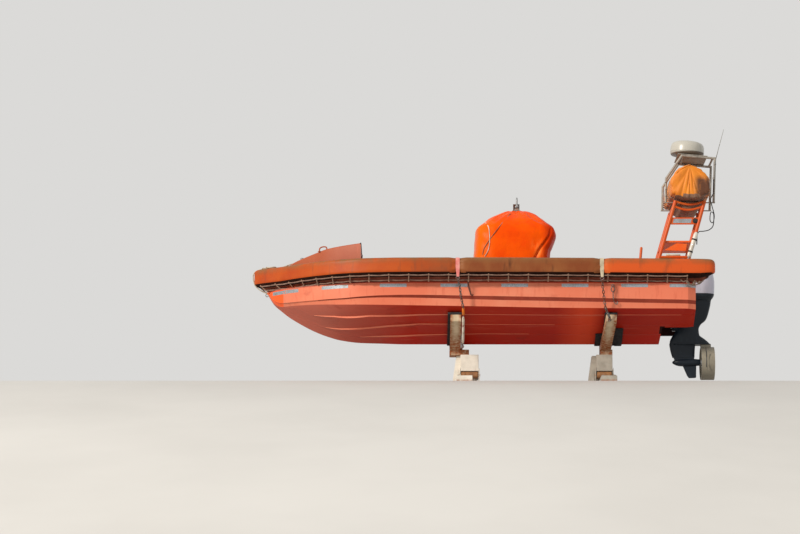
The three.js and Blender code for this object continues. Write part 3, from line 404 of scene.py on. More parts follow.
def gelcoat_finish(name, deep, chalky):
    """Polyester gelcoat: a smooth moulded gloss gone chalky, with grey runs and scuffs,
    and paler astern as painted sunlight.
    The flat facet at the stem has kept its first orange."""
    material, tree = surface(name, deep, 0.45, IOR=1.5, Specular_IOR_Level=0.25)
    colour = layered(tree, deep, chalky, patches(tree, 700, 0.35, 0.65))
    # Painted sunlight: the gelcoat turns paler astern
    astern = both(tree, axis_mask(tree, "X", -1.2, -2.4), patches(tree, 500, 0.1, 0.5))
    colour = layered(tree, colour, "#DC7658", astern)
    colour = layered(tree, colour, "#C25A40", patches(tree, 60, 0.55, 0.9, (1, 1, 0.16), 3.0))
    colour = layered(tree, colour, "#9C4031", patches(tree, 240, 0.66, 0.9, (0.35, 1, 1), 9.0))
    colour = layered(tree, colour, "#F0602A", axis_mask(tree, "X", 2.885, 2.895))
    return dressed(material, colour, [(patches(tree, 450, 0, 1), 2.0), (patches(tree, 14, 0, 1), 0.12)])


def bottom_finish():
    """The same gelcoat under the chine, painted deeper and redder partly as painted shade, with pale
    rubbed patches and water marks, and paler towards the bow as painted light.
    """
    material, tree = surface("wetted_gelcoat", "#A8301E", 0.5, Specular_IOR_Level=0.15)
    colour = layered(tree, "#A81E0C", "#B42C12", patches(tree, 900, 0.35, 0.68, (0.5, 1, 1), 5.0))
    low = both(tree, axis_mask(tree, "Z", 0.86, 0.7), patches(tree, 600, 0.4, 0.75))
    colour = layered(tree, colour, "#C41A0C", low)
    rubbed = both(tree, axis_mask(tree, "X", -0.9, -1.25), axis_mask(tree, "X", -1.6, -1.4))
    colour = layered(tree, colour, "#D84420", rubbed)
    # Painted light: the bottom turns paler towards the bow, where its steeper panels face the light
    colour = layered(tree, colour, "#B86250", axis_mask(tree, "X", 1.1, 2.3))
    colour = layered(tree, colour, "#C4604A", patches(tree, 90, 0.6, 0.95, (0.12, 1, 1), 1.0))
    colour = layered(tree, colour, "#7A1E12", patches(tree, 330, 0.62, 0.85, (0.6, 1, 1), 7.0))
    return dressed(material, colour, [(patches(tree, 380, 0, 1), 2.0)])


def painted_shade_finish(name, colour, lighter):
    """Painted shade: a dark matt colour for a face that lies in the shade, with lighter patches."""
    material, tree = surface(name, colour, 0.8, Specular_IOR_Level=0.1)
    tone = layered(tree, colour, lighter, patches(tree, 130, 0.4, 0.7))
    return dressed(material, tone)


def make_hull():
    middle = np.arange(-2800, 1690, 70)
    stations = [-2920, -2865, CHAMFER_X, *middle, COCKPIT_FORE - 0.4, COCKPIT_FORE + 0.4]
    stations += [COCKPIT_AFT - 0.4, COCKPIT_AFT + 0.4, *np.arange(1740, 3040, 32), 3046]
    rings = [mirrored(x, hull_half(x)) for x in sorted(stations)]
    shape = skin([hull_mm(ring) for ring in rings])
    finishes = [
        gelcoat_finish("chalked_gelcoat", "#D87254", "#DE8466"),
        bottom_finish(),
        painted_shade_finish("well_grime", "#2A1310", "#431D16"),
        painted_shade_finish("step_shade", "#84382A", "#963F30"),
    ]
    hull = make_piece("hull_moulding", shape, finishes, smooth=22)
    well = [(-3100, 500), (WELL_FORE_X, 500), (WELL_FORE_X, 650)]
    well += [(-2560, FLANGE_Z), (-2560, 1500), (-3100, 1500)]
    ledge = [(-2620, 1200), (-2330, 1200), (-2330, 1500), (-2620, 1500)]
    cut_away(hull, [prism(well, -WELL_HALF, WELL_HALF), prism(ledge, -420, 420)])
    places = np.array([polygon.center.x * 1000 - HULL_X_TO_FRAME for polygon in hull.data.polygons])
    for polygon, chine, knuckle in zip(
        hull.data.polygons, hull_value("chine_z", places), hull_value("knuckle", places)
    ):
        x, y, height = hull_place(polygon.center)
        bottom = height < chine + 3 and polygon.normal.z < -0.2
        foot = max(chine + 2, knuckle - np.interp(x, STEP["x"], STEP["height"]))
        # Painted shade: faces under the step that turn down take the dark step finish
        step = x < STEP["x"][-1] and foot < height < knuckle and polygon.normal.z < -0.3
        # Painted shadow line: the flange's outer edge takes the bottom's deeper red
        edge = FLANGE_Z - 13 < height < FLANGE_Z - 1 and abs(polygon.normal.y) > 0.5
        # Painted shade: faces inside the motor well take a near-black finish
        inside_well = x < WELL_FORE_X - 2 and abs(y) < WELL_HALF + 1 and height < FLANGE_Z
        polygon.material_index = (
            WELL if inside_well else STEP_SHADE if step else BOTTOM if bottom or edge else TOPSIDES
        )
    hull.data.set_sharp_from_angle(angle=math.radians(22))
    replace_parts(hull, "hull")


make_hull()

# Reflective tape: eight silver strips along each topside just under the flange, cut from a roll of
# glass-bead sheeting. Its cells show as a fine grid, and the last strip turns the corner at the transom.
TAPE_MIDDLES = [2780, 2080, 1270, 430, -410, -1245, -2070, -2740]
TAPE_LENGTH = 370
TAPE_TOP_Z = 1362
TAPE_WIDTH = 46
TAPE_PROUD = 1.2
TAPE_END_X = -2855
BOTH_SIDES = (("port", 1), ("starboard", -1))


def topside(x, z, sign, proud=0.0):
    """A point on the topside between the knuckle and the flange, moved out from it."""
    half = hull_half(x)
    (head_y, head_z), (mid_y, mid_z), (top_y, top_z) = half[-7], half[-6], half[-5]
    return (x, sign * (float(np.interp(z, [head_z, mid_z, top_z], [head_y, mid_y, top_y])) + proud), z)


def tape_finish():
    """Retroreflective sheeting: silver beads under clear film, dull grey where dirt has dried on it."""
    material, tree = surface("bead_tape", "#A9AFB5", 0.34, Metallic=0.55)
    place = object_place(tree)
    flat = add_node(tree, "ShaderNodeMapping", {"Vector": place, "Scale": (1, 0, 1)}).outputs[0]
    cells = add_node(
        tree, "ShaderNodeTexVoronoi", {"Vector": flat, "Scale": 110.0}, feature="DISTANCE_TO_EDGE"
    )
    colour = layered(tree, "#7F8A94", "#B9C0C6", ramp(tree, cells.outputs[0], 0.02, 0.16))
    colour = layered(tree, colour, "#8D8072", patches(tree, 120, 0.5, 0.8, seed=2.0))
    return dressed(material, colour)


def make_tape():
    finish = tape_finish()
    for side, sign in BOTH_SIDES:
        points, faces = [], []
        for middle in TAPE_MIDDLES:
            xs = np.linspace(middle + TAPE_LENGTH / 2, middle - TAPE_LENGTH / 2, 14)
            rings = []
            at_corner = middle == TAPE_MIDDLES[-1]
            for x in np.append(xs, [CHAMFER_X, TAPE_END_X] if at_corner else []):
                if at_corner and CHAMFER_X > x > TAPE_END_X + 5:
                    continue
                low, high = TAPE_TOP_Z - TAPE_WIDTH, TAPE_TOP_Z
                section = [(low, 0.1), (low, TAPE_PROUD), (high, TAPE_PROUD), (high, 0.1)]
                rings.append(hull_mm([topside(x, z, sign, proud) for z, proud in section]))
            rings.sort(key=lambda ring: -ring[0][0])
            strip_points, strip_faces = skin(rings)
            faces += [tuple(i + len(points) for i in face) for face in strip_faces]
            points += strip_points
        make_piece(f"reflective_tape_{side}", (points, faces), finish, merge=1e-6)


make_tape()

# Deck and coamings: the cockpit's GRP liner, a moulded diamond tread underfoot and plain gelcoat walls
# behind the fender. These solids are right as they are and only get their finish.


def carry_over(finish, *nodes):
    """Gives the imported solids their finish."""
    for node in nodes:
        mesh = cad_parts[node].data
        mesh.materials.clear()
        mesh.materials.append(finish)


def tread_finish():
    """Moulded GRP tread: grey gelcoat with a 25 mm diamond grip, worn smooth and stained in places."""
    material, tree = surface("deck_tread", "#A9A79F", 0.72)
    place = object_place(tree)
    turned = add_node(
        tree, "ShaderNodeMapping", {"Vector": place, "Rotation": (0, 0, math.pi / 4)}
    ).outputs[0]
    studs = add_node(tree, "ShaderNodeTexVoronoi", {"Vector": turned, "Scale": 40.0, "Randomness": 0.0})
    high = ramp(tree, studs.outputs[0], 0.5, 0.3)
    colour = layered(tree, "#9D9B93", "#B7B5AE", high)
    colour = layered(tree, colour, "#7E776B", patches(tree, 380, 0.5, 0.8))
    return dressed(material, colour, [(high, 1.2)])


LINER = gelcoat_finish("liner_gelcoat", "#9A421E", "#A45230")
carry_over(tread_finish(), "cockpit_deck")
carry_over(LINER, "coaming_port", "coaming_starboard")

# Fender collar: closed-cell foam in sewn covers of PVC-coated polyester, five lengths laced end to end
# round the flange. Sun has bleached the middle lengths to tan, and each strap has drawn its joint in.
FENDER_BOTTOM_Z = FLANGE_Z + 0.3
FENDER_TOP_Z = 1704
FENDER_LAP = 62
# Heights over the collar's foot: where its outer face starts, and the band along its crease painted dark as
# shade
FACE_FOOT = 150
CREASE_FOOT, CREASE_TOP = 50, 104
FENDER_JOINTS = [380, -1610]
NOSE_X = 3110
NOSE_RADIUS = 122
FENDER_PLAN = [
    # outer x, outer y, inner x, inner y, lift of the underside, draw-in
    (2860, 372, 2740, 330, 0, 0),
    (2570, 660, 2500, 522, 0, 0),
    (2290, 885, 2240, 682, 0, 0),
    (2010, 1046, 1985, 808, 0, 0),
    (1734, 1146, 1734, 888, 0, 0),
    (1420, 1200, 1420, 926, 0, 0),
    (1105, 1226, 1105, 938, 0, 0),
    (380, 1232, 380, 940, 0, 0),
    (50, 1232, 50, 941, 0, 0),
    (-1050, 1208, -1050, 928, 0, 0),
    (-1610, 1186, -1610, 921, 0, 0),
    (-2100, 1160, -2100, 913, 0, 0),
    (-2810, 1118, -2810, 903, 0, 0),
    (-2960, 1108, -2950, 897, 6, 0),
    (-3090, 1086, -3040, 893, 44, 0),
    (-3160, 1046, -3080, 893, 66, 4),
    (-3192, 985, -3096, 893, 76, 12),
]
NOSE_PLAN = [
    (
        NOSE_X + NOSE_RADIUS * math.cos(math.radians(turn)),
        NOSE_RADIUS * math.sin(math.radians(turn)),
        2880 - turn * 0.4,
        150 * math.sin(math.radians(turn)),
        0,
        0,
    )
    for turn in (0, 22, 44)
]


def run_along(rows):
    """The distance along a line of points to each of them."""
    return np.concatenate([[0], np.cumsum(np.linalg.norm(np.diff(rows, axis=0), axis=1))])


PLAN = np.array(NOSE_PLAN + FENDER_PLAN, float)
PLAN_RUN = run_along(PLAN[:, :2])
TIE_PITCH = 275
PINCH_AWAY = [1, 34, 62, 120]
PINCH_DEPTH = [22, 22, 12, 0]
# Inset from the outer face and height, from the inner foot round to the top of the outer face
FENDER_SECTION = [
    (224, 0), (126, 43), (28, 86), (6, 112), (0, 148), (0, 254), (9, 292), (36, 314), (80, 320)
]


def plan_at(run):
    """Outer x and y, inner x and y, lift and draw-in at a distance round the collar from its nose."""
    values = [float(smooth_column(PLAN_RUN, PLAN[:, i], abs(run))) for i in range(6)]
    if run < 0:
        values[1], values[3] = -values[1], -values[3]
    return values


def run_at(x):
    """The distance round the collar at which its outer face is at x."""
    return float(np.interp(-x, -PLAN[:, 0], PLAN_RUN))


def section_curve():
    """The fender's section with its round shoulders drawn fair."""
    rows = np.array(FENDER_SECTION, float)
    run = run_along(rows)
    at = np.concatenate([np.linspace(0, run[2], 6)[:-1], np.linspace(run[2], run[-1], 20)])
    inset = np.where(at < run[2], np.interp(at, run, rows[:, 0]), smooth_column(run, rows[:, 0], at))
    height = np.where(at < run[2], np.interp(at, run, rows[:, 1]), smooth_column(run, rows[:, 1], at))
    return np.column_stack([inset, height, at / run[-1]])


SECTION = section_curve()


def hump(value, middle, width):
    """A smooth hump, 1 high at its middle, that dies away over about its width on each side."""
    return math.exp(-(((value - middle) / width) ** 2))


def wave(angle):
    """A sine that runs between 0 and 1."""
    return 0.5 + 0.5 * math.sin(angle)


def wrinkles(run, around):
    """How far the cover stands in or out, in mm, at a place along the collar and round its section."""
    slack = 1.6 * math.sin(run / 61 + 3.1 * around) + 1.3 * math.sin(run / 143 + 1.7)
    slack += 0.9 * math.sin(run / 23 + 7 * around) * max(0.0, math.sin(run / 310 + 0.4))
    to_tie = (run + TIE_PITCH / 2) % TIE_PITCH - TIE_PITCH / 2
    pucker = -5.0 * hump(to_tie, 0, 34) * hump(around, 0.36, 0.1)
    nose = hump(run, 0, 420) * hump(around, 0.4, 0.14)
    gathers = -7.0 * nose * wave(run / 9.5 + 0.8 * math.sin(run / 40))
    return slack + pucker + gathers


def joint_folds(away, around):
    """Tight creases that fan out from a joint, where the strap has drawn the cover in."""
    near = math.exp(-away / 85) * (1 - math.exp(-away / 12))
    return near * (5.5 * math.sin(around * 31 + away / 19) + 3.0 * math.sin(around * 57 + 1.3))


def fender_ring(run, away):
    ox, oy, ix, iy, lift, drawn = plan_at(run)
    drawn += float(np.interp(away, PINCH_AWAY, PINCH_DEPTH))
    width = math.hypot(ix - ox, iy - oy)
    unit = ((ix - ox) / width, (iy - oy) / width)
    ring = [(width, FENDER_BOTTOM_Z + lift)]
    for inset, height, around in SECTION:
        low = 1 - min(1, height / FACE_FOOT)
        high = max(0.0, (height - FACE_FOOT) / 170)
        free = min(1.0, max(0.0, (around - 0.12) * 5))
        slack = (wrinkles(abs(run), around) + joint_folds(away, around)) * free
        crown = 5 * math.sin(math.pi * np.clip((height - 86) / 234, 0, 1))
        corner = math.exp(-away / 38) * np.clip((126 - inset) / 98, 0, 1) * low
        inset = inset + drawn * min(1, 0.2 + height / 86) - crown - min(slack, 6 if inset > 12 else 3.5)
        inset += 26 * corner
        sunk = 1.5 + 0.3 * slack if high > 0.9 else 0
        z = FENDER_BOTTOM_Z + height + lift * low - 0.4 * drawn * high - sunk + 52 * corner
        ring.append((min(max(inset, 0), width), z))
    ring.append((width, FENDER_TOP_Z - 0.4 * drawn))
    return [(ox + unit[0] * inset, oy + unit[1] * inset, z) for inset, z in ring]


def fender_length(start, end):
    """One length of the collar between two distances from the nose, drawn in at the ends that are joints."""
    joints = [sign * run_at(x) for x in FENDER_JOINTS for sign in (1, -1)]
    ends = [place for place in (start, end) if min(abs(place - joint) for joint in joints) < 2]
    count = int(abs(end - start) / 22)
    rings = []
    for run in np.linspace(start, end, count):
        away = min([abs(run - place) for place in ends] + [999])
        rings.append(hull_mm(fender_ring(run, away)))
    return skin(rings)


def cover_finish(name, fresh, bleached, grime, share, browned_bow=False):
    """PVC-coated polyester: soft sheen over a fine weave, bleached in blotches, with grimy runs.
    With browned_bow it turns darker and browner from amidships to the bow."""
    material, tree = surface(name, fresh, 0.48, IOR=1.5, Specular_IOR_Level=0.25)
    blotches = patches(tree, 520, 0.62 - share, 0.82 - share, (1, 1, 0.6), 2.0)
    colour = layered(tree, fresh, bleached, blotches)
    if browned_bow:
        bow = axis_mask(tree, "X", 0.3, 0.6)
        colour = layered(tree, colour, "#B04A0C", bow)
        colour = layered(tree, colour, "#A43C08", both(tree, bow, patches(tree, 330, 0.4, 0.7)))
        by_joint = both(tree, bow, axis_mask(tree, "X", 1.3, 0.7))
        colour = layered(tree, colour, "#8E441C", both(tree, by_joint, patches(tree, 420, 0.25, 0.6)))
    runs = patches(tree, 95, 0.55, 0.8, (1, 1, 0.22), 6.0)
    colour = layered(tree, colour, grime, runs)
    on_top = both(tree, axis_mask(tree, "Z", 1.6, 1.69), patches(tree, 260, 0.3, 0.6))
    colour = layered(tree, colour, "#7E5630", on_top)
    place = object_place(tree)
    weave = add_node(tree, "ShaderNodeTexWave", {"Vector": place, "Scale": 160.0}, bands_direction="Z")
    return dressed(
        material, colour, [(patches(tree, 160, 0, 1, (0.5, 1, 1)), 3.0), (weave.outputs["Fac"], 0.1)]
    )


def make_fenders():
    fore, aft, tail = run_at(FENDER_JOINTS[0]) - 1, run_at(FENDER_JOINTS[1]) - 1, float(PLAN_RUN[-1])
    orange = cover_finish("pvc_orange", "#CC5218", "#C46A2C", "#7C4024", 0.1, browned_bow=True)
    tan = cover_finish("pvc_bleached_tan", "#7C3E1A", "#8C542A", "#4E2812", 0.16)
    # Painted shade for faces that turn down under the collar: near black in the crease, dark red-brown below
    # it
    shades = [
        painted_shade_finish("crease_grime", "#1E0C06", "#30140A"),
        painted_shade_finish("shaded_underside", "#6C3626", "#7E4838"),
    ]
    pieces = [("fender_cover_bow", -fore, fore, orange, "fender_bow", "fender_orange")]
    for side, sign in BOTH_SIDES:
        middle = (f"fender_cover_middle_{side}", sign * (fore + 2), sign * aft, tan)
        pieces.append((*middle, f"fender_middle_{side}", "fender_brown"))
        last = (f"fender_cover_aft_{side}", sign * (aft + 2), sign * tail, orange)
        pieces.append((*last, f"fender_aft_{side}", "fender_orange"))
    for name, start, end, finish, node, slot in pieces:
        piece = make_piece(name, fender_length(start, end), [finish, *shades], smooth=48)
        for polygon in piece.data.polygons:
            x, _, z = hull_place(polygon.center)
            lift = float(np.interp(run_at(x), PLAN_RUN, PLAN[:, 4]))
            height = (z - FENDER_BOTTOM_Z - lift) / (1 - lift / FACE_FOOT)
            # Painted shade: down-facing faces low on the collar take the dark finishes
            faces_down = polygon.normal.z < -0.15
            in_shade = faces_down and height <= CREASE_TOP
            polygon.material_index = 0 if not in_shade else 1 if height > CREASE_FOOT else 2
        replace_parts(piece, node)


make_fenders()

# Grab line: 19 mm polyester rope along the foot of the fender, with a second run above it under the
# crease and short ties between the two, knotted every 275 mm, so that it reads as a ladder.
GRAB_RADIUS = 9.5
GRAB_FORE_RUN = 130
GRAB_AFT_X = -2900
ROPE_LAY = 62


def side_frames(path):
    """Tangents and two side directions that turn as little as possible along a path."""
    path = np.asarray(path, float)
    tangents = np.gradient(path, axis=0)
    tangents /= np.linalg.norm(tangents, axis=1)[:, None]
    first = np.cross(tangents[0], (0, 0, 1) if abs(tangents[0][2]) < 0.9 else (1, 0, 0))
    sides = [first / np.linalg.norm(first)]
    for tangent in tangents[1:]:
        side = sides[-1] - tangent * np.dot(sides[-1], tangent)
        sides.append(side / np.linalg.norm(side))
    sides = np.array(sides)
    return tangents, sides, np.cross(tangents, sides)


def fair_path(points, step):
    """Points every step or so along a smooth curve through a few given ones."""
    rows = np.asarray(points, float)
    run = run_along(rows)
    at = np.linspace(0, run[-1], max(3, int(run[-1] / step) + 1))
    padded = np.vstack([2 * rows[0] - rows[1], rows, 2 * rows[-1] - rows[-2]])
    index = np.clip(np.searchsorted(run, at, side="right") - 1, 0, len(rows) - 2)
    t = ((at - run[index]) / (run[index + 1] - run[index]))[:, None]
    before, here, after, beyond = (padded[index + k] for k in range(4))
    pull = 2 * before - 5 * here + 4 * after - beyond
    return 0.5 * (
        2 * here + (after - before) * t + pull * t**2 + (3 * here - before - 3 * after + beyond) * t**3
    )


def rod_skin(path, radius, sides=10, strands=0, lay=ROPE_LAY):
    """Points and faces, in metres, of a tube along a path in mm; with strands it is laid up as rope."""
    path = np.asarray(path, float)
    _, across, other = side_frames(path)
    run = run_along(path)
    radii = np.broadcast_to(radius, len(path))
    rings = []
    for place, side, up, length, size in zip(path, across, other, run, radii):
        ring = []
        for i in range(sides):
            turn = 2 * math.pi * i / sides
            twist = 2 * math.pi * length / lay
            reach = size * (0.82 + 0.18 * abs(math.cos(strands * (turn - twist) / 2))) if strands else size
            ring.append(place + side * reach * math.cos(turn) + up * reach * math.sin(turn))
        rings.append(hull_mm(ring))
    return skin(rings)


def merged(shapes):
    """Several shapes as one."""
    points, faces = [], []
    for more_points, more_faces in shapes:
        faces += [tuple(i + len(points) for i in face) for face in more_faces]
        points += [tuple(p) for p in more_points]
    return points, faces


def rope_finish(name, colour, worn):
    """Laid polyester rope: matt fibre with a fine fuzz, greyed by salt and soot."""
    material, tree = surface(name, colour, 0.88, Sheen_Weight=0.2)
    tone = layered(tree, colour, worn, patches(tree, 70, 0.35, 0.7))
    return dressed(material, tone, [(patches(tree, 3, 0, 1, (0.3, 1, 1)), 0.5)])


def under_fender(run, inset, drop):
    """A point below the fender's lower slope, at an inset from its outer face, dropped by drop mm."""
    ox, oy, ix, iy, lift, _ = plan_at(run)
    width = math.hypot(ix - ox, iy - oy)
    slope_z = FENDER_BOTTOM_Z + lift * 0.8 + 86 * (224 - inset) / 196
    return (ox + (ix - ox) / width * inset, oy + (iy - oy) / width * inset, slope_z - drop)


def make_grab_lines():
    rope = rope_finish("weathered_rope", "#6E4E40", "#8E7262")
    tie = rope_finish("tie_cord", "#9A7860", "#7C5E4C")
    end = run_at(GRAB_AFT_X)
    for side, sign in BOTH_SIDES:
        ties = list(np.arange(GRAB_FORE_RUN, end, TIE_PITCH))
        upper, lower = [], []
        for i, run in enumerate(ties):
            upper.append(under_fender(sign * run, 40, 11))
            lower.append(under_fender(sign * run, 128, 27))
            if i + 1 < len(ties):
                half = sign * (run + TIE_PITCH / 2)
                upper.append(under_fender(half, 42, 14))
                lower.append(under_fender(half, 126, 36))
        runs = [rod_skin(fair_path(line, 14), GRAB_RADIUS, 9, 3) for line in (upper, lower)]
        line = make_piece(f"grab_rope_{side}", merged(runs), rope, smooth=60)
        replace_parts(line, f"grab_line_{side}")
        short = []
        for run in ties:
            top, foot = (np.array(under_fender(sign * run, *place)) for place in ((38, 4), (130, 40)))
            bow = (top + foot) / 2 + (0, sign * 6, -4)
            short.append(rod_skin(fair_path([top, bow, foot], 12), 8, 7, 3))
            for place, size in ((top, 13), (foot, 15)):
                wraps = [place + (k * 9, 0, 2) for k in (-1.2, -0.4, 0.4, 1.2)]
                short.append(rod_skin(wraps, [size * 0.6, size, size, size * 0.6], 8))
        make_piece(f"grab_ties_{side}", merged(short), tie, smooth=60)


make_grab_lines()

# Foredeck casing: a GRP spray shelter over the bow locker with a square aft end, a rubber trim round
# that edge, a locker door, two grab handles of bent tube and a mooring bitt on the foredeck.
CASING_X = [2740, 2685, 2479, 2330, 2197, 1960, 1722]
CASING_HALF = [262, 318, 462, 560, 640, 752, 846]
CASING_SIDE = [1712, 1745, 1822, 1868, 1906, 1936, 1957]
CASING_CROWN = 34


def casing_half(x):
    """Half of the casing's section at x, up its side and over the crown."""
    lap = float(hull_value("sheer", x)) - FENDER_LAP - 6
    half = min(float(smooth_column(CASING_X, CASING_HALF, x)), lap)
    side = float(smooth_column(CASING_X, CASING_SIDE, x))
    corner = [(half - 16 + 16 * math.cos(t), side - 16 + 16 * math.sin(t)) for t in np.linspace(0, 1.35, 5)]
    crown = [
        (half * share, side + CASING_CROWN * (1 - share**2) ** 0.8) for share in (0.8, 0.55, 0.28, 0.04)
    ]
    return [(half, FLANGE_Z + 0.3), (half, (FLANGE_Z + side) / 2), *corner, *crown]


def steel_finish(name, colour, rust, share):
    """Galvanised or zinc-painted steel: dull crystals with rust bleeding through where it is knocked."""
    material, tree = surface(name, colour, 0.5, Metallic=0.6)
    tone = layered(tree, colour, "#8E9193", patches(tree, 22, 0.4, 0.6))
    tone = layered(tree, tone, rust, patches(tree, 48, 0.62 - share, 0.78 - share, seed=4.0))
    return dressed(material, tone, [(patches(tree, 9, 0, 1), 0.3)])


def rubber_finish():
    """Moulded EPDM rubber: near black and matt, with a grey bloom."""
    material, tree = surface("black_rubber", "#1B1B1D", 0.78)
    tone = layered(tree, "#1B1B1D", "#3A3A3B", patches(tree, 60, 0.45, 0.8))
    return dressed(material, tone, [(patches(tree, 6, 0, 1), 0.3)])


def box_mm(x0, x1, y0, y1, z0, z1):
    """A closed box between two corners in hull millimetres."""
    return prism([(x0, z0), (x1, z0), (x1, z1), (x0, z1)], y0, y1)


RUBBER = rubber_finish()
RUSTED_STEEL = steel_finish("rusted_steel", "#6E5A4C", "#6B3A1E", 0.14)
ZINC_STEEL = steel_finish("galvanised_steel", "#9A9D9E", "#8A5A34", 0.0)


def make_casing():
    xs = np.concatenate([np.linspace(1722, 2700, 26), [2720, 2740]])
    body = skin([hull_mm(mirrored(x, casing_half(x))) for x in xs])
    shell = make_piece("casing_moulding", body, LINER, smooth=38)
    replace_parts(shell, "foredeck_casing")
    rim = [(1722, y, z) for y, z in casing_half(1722)[2:]]
    edge = rim + [(x, -y, z) for x, y, z in reversed(rim)]
    trim = rod_skin(fair_path(edge, 25), 8, 8)
    make_piece("casing_edge_trim", trim, RUBBER, smooth=50)
    door = box_mm(1708, 1720, -330, 330, 1440, 1860)
    make_piece("locker_door", door, LINER, bevel=0.006, segments=3)
    fittings = [box_mm(1700, 1712, y - 34, y + 34, 1850, 1882) for y in (-250, 250)]
    fittings.append(rod_skin([(1712, 0, 1480), (1690, 0, 1480), (1684, 0, 1500), (1684, 0, 1540)], 7, 10))
    make_piece("locker_fittings", merged(fittings), ZINC_STEEL, bevel=0.002)
    handles = []
    for sign in (1, -1):
        y = sign * (casing_half(2250)[0][0] - 30)
        bends = [
            (2302, y, 1866), (2298, y, 1918), (2272, y, 1940), (2228, y, 1946), (2202, y, 1932),
            (2196, y, 1888),
        ]
        handles.append(rod_skin(fair_path(bends, 8), 9, 12))
        for x, z in ((2302, 1878), (2196, 1902)):
            handles.append(rod_skin([(x, y, z - 4), (x, y, z + 5)], 22, 16))
    make_piece("casing_handles", merged(handles), LINER, smooth=50)
    bitt = [rod_skin([(2560, 0, 1790), (2560, 0, 1872), (2560, 0, 1880)], [24, 24, 19], 20)]
    bitt.append(rod_skin([(2560, y, 1862) for y in (-72, -68, 68, 72)], [7, 10, 10, 7], 14))
    make_piece("mooring_bitt", merged(bitt), ZINC_STEEL, smooth=50)


make_casing()

# Bow lashing: the painter's lashing round the nose of the collar. Off-white rope in four loose turns on
# top of the fender, led over the tip and made fast to an eye under the stem.
def eye_path(middle, radius, count=20):
    """A ring of wire that stands along the boat round a middle, in mm."""
    x, y, z = middle
    turns = np.linspace(0, 2 * math.pi, count)
    return [(x + radius * math.cos(t), y, z + radius * math.sin(t)) for t in turns]


def make_bow_lashing():
    top = FENDER_TOP_Z + 9
    hitches = []
    turns = ((3060, 40, 46), (2990, 70, 58), (2925, 30, 50), (3010, -30, 40))
    for number, (x, y, radius) in enumerate(turns):
        ring = []
        for turn in np.linspace(0, 2 * math.pi, 22):
            z = top + 6 + 5 * math.sin(3 * turn + number) + 9 * number % 17
            ring.append((x + radius * 1.25 * math.cos(turn), y + radius * math.sin(turn), z))
        hitches.append(rod_skin(ring, 8.5, 9, 3))
    led = [
        (3000, 20, top + 4), (3120, 10, top + 2), (3205, 6, 1690), (3246, 4, 1640), (3243, 3, 1560),
        (3215, 2, 1480), (3150, 2, 1420), (3060, 2, 1375), (3040, 2, 1352),
    ]
    hitches.append(rod_skin(fair_path(led, 14), 8.5, 9, 3))
    led = [(2925, 80, top + 2), (2820, 60, 1742), (2700, 30, 1790), (2600, 8, 1812), (2562, 27, 1822)]
    hitches.append(rod_skin(fair_path(led, 14), 8.5, 9, 3))
    lashing = rope_finish("painter_rope", "#C7BCA6", "#8C7458")
    make_piece("bow_lashing", merged(hitches), lashing, smooth=60)
    eye = rod_skin(eye_path((3050, 0, 1346), 20), 6, 8)
    make_piece("stem_eye", eye, ZINC_STEEL, smooth=50)


make_bow_lashing()

# Console cover: one sewn tent of glossy orange PVC over the helm console and the lifting frame. It is
# gathered and tied round the lifting plate, so folds run down from there, and hangs in soft flutes below.
COVER_Z = [1135.6, 1560, 1926, 2053, 2167, 2252, 2362, 2436, 2492, 2540]
COVER_FORE = [150, 152, 142, 137, 130, 121, 4, -82, -196, -300]
COVER_AFT = [-900, -920, -948, -1000, -1034, -1022, -908, -822, -752, -640]
COVER_HALF = [470, 482, 486, 484, 478, 462, 390, 300, 215, 110]
COVER_TURNS = 220


def cover_fold(turn, z):
    """How far a fold draws the cover inwards, in mm."""
    tied = np.clip((z - 2180) / 330, 0, 1) ** 1.3
    wander = 0.35 * math.sin(2 * turn + 1) + 0.2 * math.sin(5 * turn)
    gather = wave(13 * (turn + 0.25 * wander) + 1.2 * math.sin(z / 170))
    fine = wave(29 * turn + 2.5 * wander)
    flute = wave(7 * turn + 0.9 * math.sin(z / 260) + wander)
    sag = hump(z, 2080, 210) * wave(4 * turn + 0.6)
    hang = np.clip((2240 - z) / 420, 0.15, 1)
    crease_turn = 1.98 + 0.36 * (z - 1800) / 370
    crease = 34 * hump(turn, crease_turn, 0.05) * np.clip((2260 - z) / 160, 0, 1)
    crease -= 13 * hump(turn, crease_turn - 0.14, 0.07) * hump(z, 1990, 90)
    slant = 14 * wave(9 * turn + z / 75 + 2 * math.sin(3 * turn)) * hump(z, 2290, 110)
    folds = tied * (24 * gather**1.6 + 9 * fine) + hang * 15 * flute**2 + 16 * sag + slant
    return max(0.0, folds + crease + 1.5 * math.sin(z / 31 + 6 * turn))


def cover_power(z):
    """How round the cover's section is at a height: 0.5 for a rounded box, 1 for an oval."""
    return 0.5 + 0.5 * np.clip((z - 2300) / 300, 0, 1)


def cover_at(turn, z, proud=0.0):
    """A point on the cover at a turn round it and a height."""
    fore, aft, half = (
        float(smooth_column(COVER_Z, column, z)) for column in (COVER_FORE, COVER_AFT, COVER_HALF)
    )
    power = cover_power(z)
    fold = cover_fold(turn, z) - proud
    cosine, sine = math.cos(turn), math.sin(turn)
    reach_x = (fore - aft) / 2 - fold
    reach_y = half - fold
    x = (fore + aft) / 2 + reach_x * math.copysign(abs(cosine) ** power, cosine)
    return (x, reach_y * math.copysign(abs(sine) ** power, sine), z)


